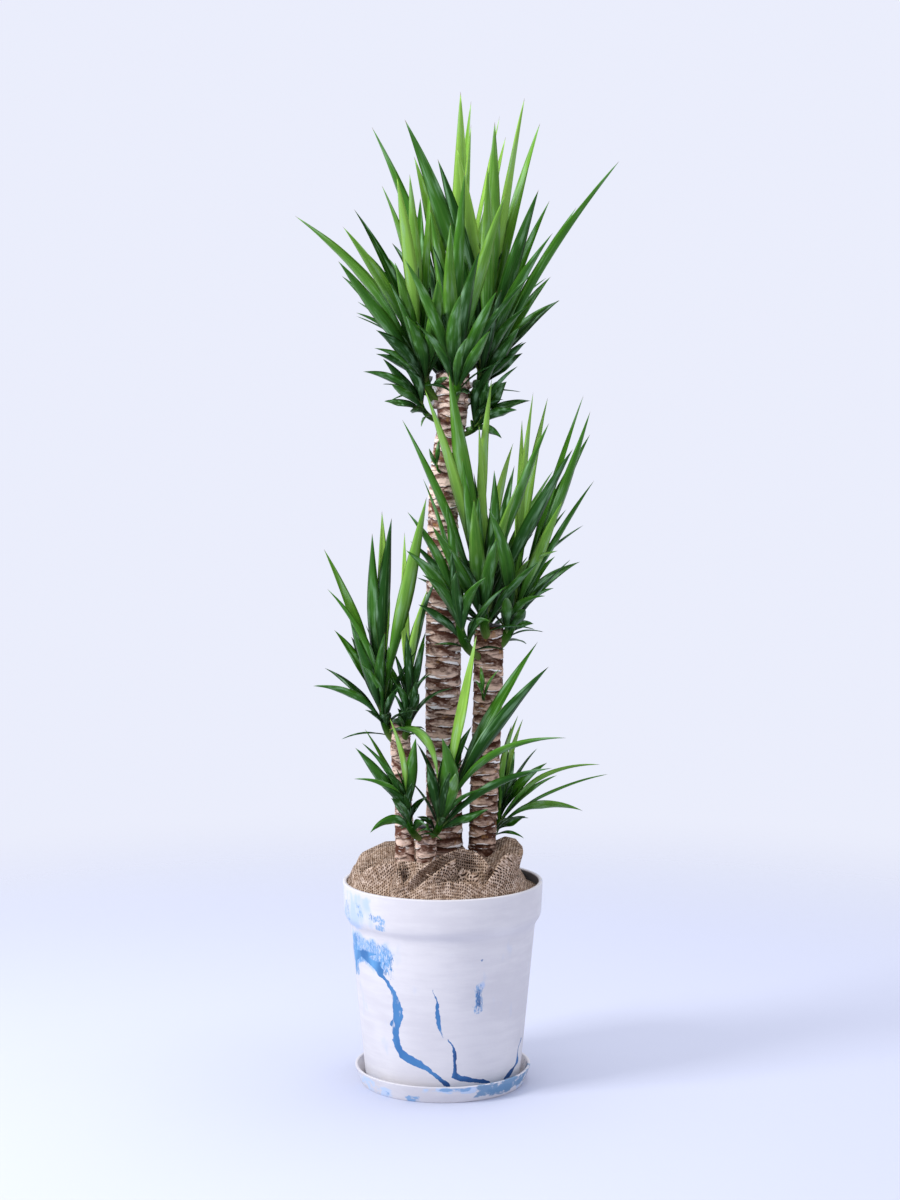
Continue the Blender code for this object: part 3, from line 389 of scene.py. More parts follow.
# Their width in a head with no reach, what each metre of reach adds, and how far they face the eye
ADDED_SLIM = 0.4
ADDED_GROW = 2
ADDED_FACING = (0, 0.5)
CLOSING_FACING = 0.5
LEAST_REACH = 0.10

# Bark: fine grid, spacing of the leaf scars on their spiral, and the relief under each scar's lip
BARK_FROM = 0.325
BARK_STEP = 0.0009
BARK_SIDE = 0.0022
FEWEST_SIDES = 36
FOOT_RING_UP = 0.06
PINK_FROM = 0.84
BARK_VALUES = ("pale", "dark", "tone", "warm")
# The cut top is rounded off over this height and by this much, on rings this far below the top
CUT_EDGE = 0.0022
CUT_ROUND = 0.0016
CUT_RINGS = (CUT_EDGE, 0.0010, 0.0002)
CUT_ROOM = 0.0025
SCAR_START = 0.045
SCAR_TURN = 137.5
SCAR_ADVANCE = 0.0066
SCAR_HALF = (56, 80)
SCAR_LIFT = (0.003, 0.0065)
SCAR_TILT = (-0.0042, 0.0012)
SCAR_REACH = 0.018
SCARS_PAST = 0.01
# How far the scars differ in reach, advance, turn in degrees and tone
REACH_RANGE = (0.85, 1.2)
ADVANCE_RANGE = (0.8, 1.2)
TURN_SPREAD = 8
TONE_SPREAD = 0.22
# Relief and tone of the bark with no scar, and the relief at which it neither swells nor sinks
PLAIN_RISE = 0.3
PLAIN_TONE = 0.35
LEVEL_RISE = 0.45
SCAR_RELIEF = 0.0013
SCAR_EDGE = 0.0006
SCAR_LINE = 0.0007
# Depth of the dark grooves, height of the pale lips, and over what height the relief begins
GROOVE_DEPTH = 0.0006
LIP_HEIGHT = 0.0004
RELIEF_EASE = 0.01
# How the scars waver and how rough the bark is: height, then how many blotches round and the
# height of each
SCAR_WAVER = ((0.0015, 12, 0.012), (0.0004, 44, 0.006))
BARK_ROUGH = ((0.0006, 30, 0.004), (0.00042, 12, 0.03))
# Thickness of the pale crescents at their middle, in mm, and how far round a scar they go
CRESCENT = {
    "cane_tall": (2.2, 6), "cane_middle": (1, 3.8), "cane_left": (0.3, 1.9), "cane_short": (0.3, 2.2),
    "cane_back": (0.6, 3),
}
CRESCENT_SHARE = (0.38, 0.75)
# How far their middle lies aside, and how thin they are on the pink bark
CRESCENT_ASIDE = 0.35
PINK_THIN = 0.4
# Dark and pale wrinkles: seed, number round and height of each
WRINKLES = ((5, (10, 0.0019)), (6, (9, 0.0023)))
# How warm and pink the bark is, from height to share
WARMTH = {
    "cane_tall": ((0, 0.25), (0.62, 0.25), (0.9, 0.7), (1.05, 1), (1.2, 1)),
    "cane_middle": ((0, 0), (0.9, 0.1)), "cane_left": ((0, 0.55), (0.9, 0.55)),
    "cane_short": ((0, 0.6), (0.9, 0.6)), "cane_back": ((0, 0.3), (0.9, 0.3)),
}
# Cut stubs of side shoots: foot and end as x, y and z in cm, and the two radii in mm
STUBS = (
    ((-0.2, -1.2, 115.6), (-1.3, -2.4, 114.3), 7, 5), ((-0.2, -0.6, 111.4), (-1.7, -1.4, 111.9), 8.5, 6),
    ((3.4, -0.6, 114.4), (4.7, -1.4, 114.9), 7, 4.5), ((3.4, -1.2, 111.9), (4.4, -2.2, 112.3), 6.5, 4),
    ((1.4, 1.8, 113), (0.9, 3.9, 113.6), 7, 5),
)
STUB_SIDES = 20
# Share of a stub's length, its swelling there and how pale it is
STUB_PROFILE = (
    (0, 1, 0), (0.35, 0.95, 0), (0.6, 1.05, 0), (0.85, 1.1, 0), (0.97, 1, 0.5), (1, 0.85, 1),
    (0.98, 0.5, 1),
)
BARK_COOL = ((0.052, 0.017, 0.007), (0.64, 0.44, 0.32))
BARK_WARM = ((0.135, 0.046, 0.026), (0.95, 0.73, 0.62))
# Colour of the dark lines and of the painted shadow under the scars' lips
BARK_DARK_AND_SHADOW = (0.024, 0.007, 0.003)
# Heights between which painted shade on the bark fades, from its darkest near the cloth to none
FOOT_SHADE = (0.36, 0.56)
BARK_OCHRE = (0.33, 0.17, 0.06)
BARK_LIP = ((0.70, 0.62, 0.58), (0.90, 0.87, 0.85))

# Cloth: rings and sides of its surface, the square grid that it is shaped on, the mound under its
# folds, how its threads are laid out over them, and the pitch of the threads
CLOTH_RING = 0.0016
CLOTH_SIDES = 420
CLOTH_CELL = 0.0012
CLOTH_SPARE = 8
CLOTH_LOW = 0.3335
CLOTH_SPREAD = 1.1
CLOTH_ROUNDS = 320
CLOTH_PULL = 0.22
CLOTH_EVEN = 0.6
THREAD = 0.0036
# Folds: reach ahead and behind, the way that the crest leans over, and the x, y and z of points
# along the crest, all in cm
FOLDS = (
    (
        (2.6, 3.2), (-0.4, -0.8), (-15.4, -5.5, 34.6), (-14.4, -3.5, 36.2), (-12.4, -1, 37.4),
        (-10, 1, 38.6), (-7.2, 2.5, 38.9),
    ),
    (
        (0.8, 1.3), (0, -1.3), (-13.6, -7.5, 36.2), (-11.6, -9, 37.4), (-9.6, -10, 38.2),
        (-7.3, -10.9, 38.7), (-4.4, -10.9, 38.9), (-2.6, -10.2, 38.4),
    ),
    ((0.7, 0.7), (0.3, 0), (-7, -11.3, 38.5), (-6.8, -13, 37), (-6.5, -14.6, 35.4)),
    (
        (0.75, 1.5), (0.3, -3), (-6.4, -15, 35.3), (-5, -14.2, 36.6), (-3.6, -13.2, 37.8),
        (-1.5, -12.2, 39.1), (0.2, -11.4, 39.9), (2, -10.6, 40.5), (3.5, -10, 40.6), (5.1, -10, 40.2),
        (6.3, -10.6, 39.4), (7.3, -11.8, 38.2),
    ),
    (
        (0.55, 1.1), (1.5, -1), (-2.6, -14.4, 36.4), (-1.4, -14.3, 37.4), (-0.2, -14.2, 38.3),
        (1, -13.9, 39.2), (2.2, -13.4, 39.7),
    ),
    (
        (0.8, 1.1), (-1.2, -0.5), (6, -14.5, 36.3), (7.4, -13.2, 38.2), (8.7, -11.6, 39.6), (9.6, -10, 40),
        (9.9, -7, 39.2),
    ),
    (
        (0.9, 2), (2.2, 0.2), (11.4, -11, 35.6), (12.6, -8.5, 37), (13.2, -6, 38.4), (13, -3, 39.7),
        (12, 0, 40.4), (10.4, 2.5, 40.3), (9.1, 5, 39.2),
    ),
    (
        (0.6, 0.9), (0, -0.6), (-6.6, -15, 35), (-2.8, -14.9, 35.7), (1.2, -14.7, 36.3), (5.2, -14.6, 36.3),
        (8.3, -13.8, 36), (10.8, -12, 35.6),
    ),
    ((2.2, 2.2), (0, 0), (-12.6, 4, 37.6), (-9.5, 8, 38.4), (-5, 10, 38.2)),
    ((1.2, 1.6), (1.2, 0), (-2, 8, 38.6), (2.5, 10.5, 38.2), (4, 14, 35.6)),
    ((1, 1.2), (0.5, 0.9), (9.5, 9, 38.4), (7, 11.5, 37.8), (6.8, 14, 35.5)),
    ((1, 1.2), (0, 0.8), (-9, 11, 36.8), (-6.5, 13.5, 35.4)),
)
# A crest leans more the higher it is: heights in cm at which it starts to and leans fully
LEANING = (34.5, 38.5)
# Places where the cloth is pulled down: x, y, reach in x and in y, and depth, all in cm
POCKETS = (
    (4.4, -11.6, 3, 1.5, 2.6), (-10.6, -12.2, 1.9, 1.4, 1.3), (15, 1, 1.5, 7, 3.5),
    (5.4, -15.1, 1.1, 0.7, 2.2), (-3, 12.5, 2, 1.5, 0.9),
)
# Rolls at the bottom of the pocket behind the front strip: x, y, z, half length and reach in cm
ROLLS = ((3.6, -12.4, 38.1, 1.9, 0.32), (5.0, -12.9, 37.5, 1.3, 0.34))
# Crumpling: pitch and height of its creases, and the share of the radius over which it dies out
CRUMPLE = ((0.034, 0.0019), (0.015, 0.0009), (0.008, 0.0004))
CRUMPLE_EDGE = 0.12
CREASE = 2.2
FOLD_EDGE = 0.07
CLOTH_TUCK = 0.008
CLOTH_LIFT = 0.0012
# Height at which the canes pass through the cloth, and how far it reaches under their bark
CANES_CROSS = 0.38
UNDER_CANE = 0.004
SOIL_TOP = ((0.0, 0.362), (0.09, 0.347), (SOIL_R, 0.320))
JUTE = ((0.0, (0.085, 0.048, 0.028)), (0.5, (0.295, 0.195, 0.130)), (1.0, (0.73, 0.58, 0.47)))
# Colour in the gaps of the weave: the soil's own dark, deepened as painted shade
JUTE_GAP_SOIL_AND_SHADE = (0.030, 0.018, 0.012)
# Loose threads: radius in mm and points of x, y and z in cm
THREADS = (
    (
        1, (-7.2, -11.2, 39.1), (-7.1, -12.3, 38.2), (-7.2, -13.3, 37.2), (-6.9, -14.2, 36.1),
        (-6.4, -14.7, 35.1),
    ),
    (0.9, (-6.7, -11.2, 39), (-6.4, -12.6, 37.9), (-6.6, -13.7, 36.6), (-6.2, -14.6, 35.3)),
    (0.8, (-6.3, -14.7, 35.4), (-7.3, -14.4, 35.1), (-8, -14, 34.7), (-8.4, -13.8, 34.4)),
    (0.7, (-6.4, -14.6, 35.2), (-7, -14.4, 34.8), (-7.4, -14.3, 34.3)),
    (
        1.1, (-2.5, -14.6, 37.4), (-1.7, -15.1, 37.1), (-1.3, -15.5, 36.2), (-1.3, -15.8, 35.2),
        (-1, -16, 34.2),
    ),
    (0.8, (-2.8, -15.2, 35.9), (-2.9, -15.6, 34.9), (-3.1, -15.9, 34.2)),
    (0.4, (1.6, -14.3, 38.9), (2.3, -14.8, 38.2), (2.4, -15, 37.5)),
    (0.4, (1.4, -14.4, 38.2), (2.2, -15, 37.3), (2.6, -15.2, 36.8)),
    (0.4, (0.4, -14.9, 36.9), (0.9, -15.3, 36.3), (0.8, -15.5, 35.9)),
)
THREAD_SIDES = 8
THREAD_STEPS = 6
# How far they bend between their points, and how uneven their thickness is
THREAD_BEND = 0.1
THREAD_LEAST = 0.85
THREAD_UNEVEN = 0.3
THREAD_GRAIN = 400

# Sides of the turned pieces, and how far from a corner its rounding starts
POT_SIDES = 144
SAUCER_EDGE = 0.0018
POT_EDGE = 0.0026
POT_SHOULDER_EDGE = 0.0080
EDGE_STEPS = 5
# How far the saucer's profile goes in under the pot, and the room round the pot's foot
SAUCER_INWARD = 0.02
SEAT_ROOM = 0.0012
# Marbling of the pot: each vein as bearings from the side shown, in degrees, and heights in cm, then
# as heights in cm and half widths in mm
VEINS = {
    "main": (
        (
            (-64.8, 22.6), (-50.3, 22), (-40.9, 20), (-34.9, 18.4), (-30.8, 16.2), (-30.6, 14),
            (-33.6, 11.7), (-32.7, 9.1), (-27.5, 7.4), (-18.7, 6.3), (-9.5, 5.1), (-2.5, 4), (3.9, 2.6),
        ),
        (
            (22.6, 6), (21, 6.5), (20, 5), (18.2, 4), (16.4, 5.2), (14, 8.2), (11.7, 7.2), (9.1, 5.6),
            (7.4, 5.4), (6.3, 7), (5.1, 4.4), (4, 3.4), (2.9, 4.2), (2.4, 2),
        ),
    ),
    "top": (
        ((-79, 18.4), (-76, 20.2), (-70, 21.9), (-62, 22.8), (-52, 23.4)),
        ((18.4, 2), (20.2, 5), (21.9, 8), (22.8, 9), (23.4, 5)),
    ),
    "spindle": (
        ((-6, 18.4), (-4.4, 17), (-3, 14.6), (-1.6, 12.6), (0.6, 10.9)),
        ((18.4, 0.2), (17, 0.9), (14.8, 2.5), (13.2, 2.6), (12, 1.4), (10.9, 0.2)),
    ),
    "low": (
        ((3.7, 10.2), (7.8, 8.7), (8.7, 5.8), (9.6, 4.5), (13.8, 3.9), (25.3, 3.1), (34.6, 2.5)),
        ((10.2, 1.2), (8.7, 2.6), (7.2, 1.9), (5.8, 2.3), (4.5, 2.6), (3.9, 3.4), (3.1, 3.6), (2.5, 1.2)),
    ),
    "right": (
        ((73.5, 7.8), (67.7, 5.8), (68.3, 4.4), (60, 3.4), (54.4, 2.4)),
        ((7.8, 1.4), (5.8, 2.6), (4.4, 3.6), (3.4, 6), (2.4, 5)),
    ),
    "back": (
        ((150, 23), (161, 18), (158, 13), (170, 8), (176, 3)),
        ((23, 0.5), (18, 5), (13, 7.5), (8, 4.5), (3, 2)),
    ),
    "side": (
        ((-128, 25), (-118, 20), (-124, 14), (-112, 8), (-104, 2.5)),
        ((25, 1), (20, 4.5), (14, 3), (8, 6.5), (2.5, 2)),
    ),
}
# Widths of the veins vary by this share, and their edges are this ragged, in degrees
VEIN_SWELL = 0.6
VEIN_RAG = 0.7
DEEP_VEINS = ("low", "right")
# Stretch in which the main vein is dry-brushed: bearings from and to, and heights from and to in cm
DRY_STRETCH = (-60.0, 0.0, 9.5, 17.0)
BLUE = (0.031, 0.155, 0.385)
BLUE_DEEP = (0.010, 0.060, 0.20)
BLUE_LIGHT = (0.115, 0.335, 0.63)
BLUE_PALE = (0.42, 0.54, 0.77)
CHALK = (0.705, 0.685, 0.70)
CHALK_SHADE = (0.635, 0.615, 0.64)
POT_INSIDE = (0.12, 0.125, 0.14)
POT_PAINTS = {"light": (BLUE_LIGHT, BLUE), "deep": (BLUE, BLUE_DEEP)}
SOIL_TONES = ((0.02, 0.014, 0.010), (0.075, 0.055, 0.040))
SEAL_TONES = ((0.012, 0.010, 0.010), (0.035, 0.028, 0.026))
# The grain's value above which paint stays, what full cover takes off it, and the patches' fading
PAINT_LIMIT = 0.62
PAINT_COVER = 0.24
PAINT_FADE = 0.45
# A patch wider than this, in degrees, gets ragged edges
NARROW_PATCH = 9
# Pale washes and dry-brushed paint: bearings from and to, heights from and to in cm, and how much of
# the area the paint covers
WASHES = (
    (-84, -33, 20.8, 26, 1.2), (-88, -42, 26.6, 33.6, 0.7), (92, 120, 20, 26, 0.5),
    (-175, -148, 26, 32, 0.5), (19, 28, 14, 19.5, 0.15),
)
BRUSHED = (
    (-80, -28.5, 20.8, 25.9, 0.6, "light"), (-46, -28, 19.6, 25.2, 0.55, "light"),
    (-82, -68, 18.6, 25.6, 0.95, "light"), (-78, -50, 21, 24, 0.85, "light"),
    (-48, -33, 29.4, 30.8, 0.7, "light"), (-39.5, -33.5, 28.6, 30, 0.6, "light"),
    (-43, -34, 27.6, 28.9, 0.68, "light"), (-62, -50, 28.8, 32.2, 0.34, "light"),
    (-84, -64, 27.8, 32, 0.3, "light"), (20, 27, 14.2, 19.6, 0.66, "light"),
    (21.6, 25.2, 15.4, 18.6, 1.05, "deep"), (24.6, 25.6, 23, 23.5, 1.1, "deep"),
    (96, 110, 20.6, 25.4, 0.42, "light"), (104, 121, 22, 24.2, 0.5, "light"),
    (-171, -151, 27.4, 31, 0.38, "light"),
)
# Marbling of the saucer: the same, and which paint
SAUCER_MARKS = (
    (-78, -50, 0.2, 2.6, 0.7, "pale"), (-66, -34, -0.4, 1.8, 0.7, "pale"),
    (-44, -30, 0, 1.2, 0.35, "light"), (-26, -14, -0.2, 1.1, 1, "light"), (-16, 26, 1.5, 2.9, 0.55, "pale"),
    (-4, 20, 1.9, 2.8, 0.5, "light"), (22, 70, 0.7, 3.1, 0.98, "teal"), (30, 54, 0.2, 2.2, 0.95, "teal"),
    (58, 90, 0.9, 3.1, 0.85, "teal"), (60, 84, -0.4, 1, 0.4, "pale"), (66, 104, 0.6, 2.9, 0.55, "grey"),
    (128, 160, 0.2, 2.4, 0.8, "teal"), (-150, -112, 0.8, 2.6, 0.7, "light"),
)
SAUCER_PAINTS = {
    "pale": (0.52, 0.64, 0.82), "light": (0.2, 0.38, 0.62), "teal": (0.13, 0.27, 0.44),
    "grey": (0.22, 0.25, 0.31),
}

# Floor, surroundings and lamps: name, place, point aimed at, size and power
FLOOR = 6.0
FLOOR_COLOUR = (0.56, 0.585, 0.70)
FADE_FROM = 0.9
FADE_TO = 2.6
SKY = (0.828, 0.853, 0.975)
SKY_STRENGTH = 1.0
LAMPS = (("key", (-2.7, -1.5, 2.5), (0, 0, 0.8), 1.1, 98), ("top", (0.3, 0.1, 3.4), (0, 0, 1), 1, 34))


class Value:
    """A node's output. The signs + - and * join it to others, and abs works, each by a math node."""

    def __init__(self, shader, socket):
        self.shader = shader
        self.socket = socket

    def __add__(self, other):
        return self.shader.math("ADD", self, other)

    def __sub__(self, other):
        return self.shader.math("SUBTRACT", self, other)

    def __mul__(self, other):
        return self.shader.math("MULTIPLY", self, other)

    def __abs__(self):
        return self.shader.math("ABSOLUTE", self)

    def swing(self, size):
        """The value taken about one half, times a size."""
        return (self - 0.5) * size


class Shader:
    """A material's nodes, with short calls for the few kinds that the finishes use."""

    def __init__(self, name, roughness, specular=0.5):
        self.material = bpy.data.materials.new(name)
        self.material.use_nodes = True
        self.tree = self.material.node_tree
        self.principled = self.tree.nodes["Principled BSDF"]
        self.principled.inputs["Roughness"].default_value = roughness
        self.principled.inputs["Specular IOR Level"].default_value = specular

    def make(self, kind, inputs, **settings):
        """A node with its settings and inputs, of which a Value is linked and the rest are set."""
        made = self.tree.nodes.new("ShaderNode" + kind)
        for name, value in settings.items():
            setattr(made, name, value)
        for name, value in inputs.items():
            self.feed(made.inputs[name], value)
        return made

    def feed(self, socket, value):
        if isinstance(value, Value):
            self.tree.links.new(value.socket, socket)
        else:
            socket.default_value = value

    def out(self, made, output=0):
        return Value(self, made.outputs[output])

    def finish(self, **inputs):
        for name, value in inputs.items():
            self.feed(self.principled.inputs[name.replace("_", " ").title()], value)
        return self.material

    def math(self, operation, a, b=0.0, clamp=False):
        return self.out(self.make("Math", {0: a, 1: b}, operation=operation, use_clamp=clamp))

    def band(self, value, low, high, start=0.0, end=1.0):
        """start below low, end above high, and a smooth step between."""
        ends = {"From Min": low, "From Max": high, "To Min": start, "To Max": end, "Value": value}
        return self.out(self.make("MapRange", ends, interpolation_type="SMOOTHSTEP"))

    def window(self, value, low, high, soft):
        """1 between low and high, with soft edges."""
        return self.band(value, low - soft, low + soft) * self.band(value, high + soft, high - soft)

    def attribute(self, name):
        return self.out(self.make("Attribute", {}, attribute_name=name), "Fac")

    def place(self):
        return self.out(self.make("TexCoord", {}), "Object")

    def vector(self, x, y, z):
        return self.out(self.make("CombineXYZ", {"X": x, "Y": y, "Z": z}))

    def split(self, vector):
        return [Value(self, socket) for socket in self.make("SeparateXYZ", {0: vector}).outputs]

    def off_axis(self, place):
        """Distance from the pot's axis."""
        x, y, _ = self.split(place)
        return self.math("SQRT", x * x + y * y)

    def noise(self, vector, scale, detail=2.0, roughness=0.5, distortion=0.0, squash=None):
        """Noise at a place, squashed in height by a factor."""
        if squash:
            factors = (1.0, 1.0, squash)
            vector = self.out(self.make("VectorMath", {0: vector, 1: factors}, operation="MULTIPLY"))
        sizes = {"Scale": scale, "Detail": detail, "Roughness": roughness, "Distortion": distortion}
        return self.out(self.make("TexNoise", {"Vector": vector, **sizes}), "Fac")

    def mix(self, factor, a, b):
        made = self.make("Mix", {"Factor": factor}, data_type="RGBA")
        for name, value in (("A", a), ("B", b)):
            socket = [s for s in made.inputs if s.name == name and s.type == "RGBA"][0]
            self.feed(socket, value if isinstance(value, Value) else (*value, 1))
        return Value(self, [s for s in made.outputs if s.type == "RGBA"][0])

    def ramp(self, factor, stops):
        made = self.make("ValToRGB", {0: factor})
        elements = made.color_ramp.elements
        while len(elements) < len(stops):
            elements.new(0.5)
        for element, (place, colour) in zip(elements, stops):
            element.position = place
            element.color = (*colour, 1)
        return self.out(made, "Color")

    def curve(self, value, points):
        """A smooth curve through points of (0 to 1, 0 to 1)."""
        made = self.make("FloatCurve", {"Value": value})
        line = made.mapping.curves[0]
        while len(line.points) < len(points):
            line.points.new(0.5, 0.5)
        for point, place in zip(line.points, points):
            point.location = place
            point.handle_type = "AUTO_CLAMPED"
        made.mapping.update()
        return self.out(made)

    def bump(self, height, distance, strength=1.0):
        inputs = {"Distance": distance, "Strength": strength, "Height": height}
        return self.out(self.make("Bump", inputs), "Normal")


def linked(name, data):
    """A new object in the scene."""
    made = bpy.data.objects.new(name, data)
    bpy.context.scene.collection.objects.link(made)
    return made


class Skin:
    """Points, faces and per-point values gathered for one piece."""

    def __init__(self, *names):
        self.points = []
        self.faces = []
        self.values = {name: [] for name in names}

    def add(self, points, faces, **values):
        """values are one number each, or a number for each point."""
        first = len(self.points)
        self.points += points
        self.faces += [tuple(first + i for i in face) for face in faces]
        for name, own in self.values.items():
            value = values[name]
            own += value if isinstance(value, list) else [value] * len(points)

    def piece(self, name, finish, slot, *nodes):
        """The piece itself, riding on the body and standing for the CAD nodes named."""
        mesh = bpy.data.meshes.new(name)
        mesh.from_pydata([tuple(p) for p in self.points], [], self.faces)
        for key, own in self.values.items():
            mesh.attributes.new(key, "FLOAT", "POINT").data.foreach_set("value", own)
        mesh.materials.append(finish)
        mesh.shade_smooth()
        made = linked(name, mesh)
        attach(made, BODY)
        if nodes:
            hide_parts(*nodes)
        return made


def neighbours(count):
    """Each corner of a ring with the next."""
    return [(i, (i + 1) % count) for i in range(count)]


def skin(rings, closed=False):
    """Corners and faces of rings with equal counts, capped unless the last joins the first."""
    count = len(rings[0])
    corners = [c for ring in rings for c in ring]
    faces = []
    for k in range(len(rings) if closed else len(rings) - 1):
        a = k * count
        b = (k + 1) % len(rings) * count
        faces += [(a + i, a + j, b + j, b + i) for i, j in neighbours(count)]
    if not closed:
        faces.append(tuple(range(count))[::-1])
        faces.append(tuple(range(len(corners) - count, len(corners))))
    return corners, faces


def circle(radius, z, sides):
    """Points round the pot's axis at a height."""
    steps = (math.tau * k / sides for k in range(sides))
    return [Vector((radius * math.cos(a), radius * math.sin(a), z)) for a in steps]


def spokes(ahead, hint, sides):
    """Even directions all round a line, of which the first is square to a hint."""
    side = ahead.cross(Vector(hint)).normalized()
    other = ahead.cross(side).normalized()
    steps = (math.tau * k / sides for k in range(sides))
    return [side * math.cos(a) + other * math.sin(a) for a in steps]


def bent(a, b, c, t):
    """The point at t on a curve from a to c that b pulls aside."""
    return a * (1 - t) ** 2 + b * 2 * t * (1 - t) + c * t**2


def heading(bearing, rise):
    """The direction at a bearing and a rise, both in radians."""
    flat = math.cos(rise)
    return Vector((flat * math.cos(bearing), flat * math.sin(bearing), math.sin(rise)))


def smooth(t):
    """0 to 1 on a smooth step."""
    t = min(1.0, max(0.0, t))
    return t * t * (3 - 2 * t)


def between(rows, t):
    """The value at t on smooth steps through rows of (place, value)."""
    for (a, low), (b, high) in zip(rows, rows[1:]):
        if t <= b:
            return low + (high - low) * smooth((t - a) / (b - a))
    return rows[-1][1]


# Canes


def along(rows, z):
    """Middle and radius of a cane at a height, on smooth curves through its rows."""
    last = len(rows) - 1
    k = 0
    while k < last - 1 and z > rows[k + 1][2]:
        k += 1
    low, high = Vector(rows[k]), Vector(rows[k + 1])
    t = (z - low[2]) / (high[2] - low[2])
    slopes = []
    for at in (k, k + 1):
        before, after = Vector(rows[max(at - 1, 0)]), Vector(rows[min(at + 1, last)])
        slopes.append((after - before) / (after[2] - before[2]) * (high[2] - low[2]))
    a = 2 * t**3 - 3 * t**2 + 1
    b = t**3 - 2 * t**2 + t
    point = low * a + slopes[0] * b + high * (1 - a) + slopes[1] * (t**3 - t**2)
    return Vector((point[0], point[1], z)), point[3]


def sleeve(rows, grow):
    """Corners and faces of a smooth tube a little wider than the cane, up to past its seal."""
    low, end = rows[0][2], rows[-1][2]
    count = max(2, round((end - low) / SLEEVE_STEP))
    rings = []
    for k in range(count + 1):
        middle, radius = along(rows, low + (end - low) * k / count)
        rings.append([middle + p for p in circle(radius + grow, 0, CANE_SIDES)])
    rings[0] = [p - UP * GAP for p in rings[0]]
    rings.append([p + UP * 2 * SEAL for p in rings[-1]])
    return skin(rings)


def cloth_height(x, y):
    """Top of the part's cloth: a mound with a hump at the left and a roll at the right."""
    r = min(1.0, math.hypot(x, y) / SOIL_R)
    height = CLOTH_EDGE + CLOTH_RISE * (1 - r**CLOTH_FALL)
    for rise, at_x, at_y, wide, deep, flat in HUMPS:
        height += rise * math.exp(-abs((x - at_x) / wide) ** flat - abs((y - at_y) / deep) ** flat)
    return height


# Leaves


def seen(x, z, depth):
    """The point at a depth on the sight line through (x, 0, z), all in cm."""
    return EYE + (Vector((x * CM, 0, z * CM)) - EYE) * (1 + depth * CM / -EYE.y)


def stem_point(head, share):
    """A point on a stem's middle line, which leaves the cane sideways and turns up."""
    foot, heart = head["foot"], head["heart"]
    turn = Vector((heart.x, heart.y, foot.z + STEM_TURN * (heart.z - foot.z)))
    return bent(foot, turn, heart, share)


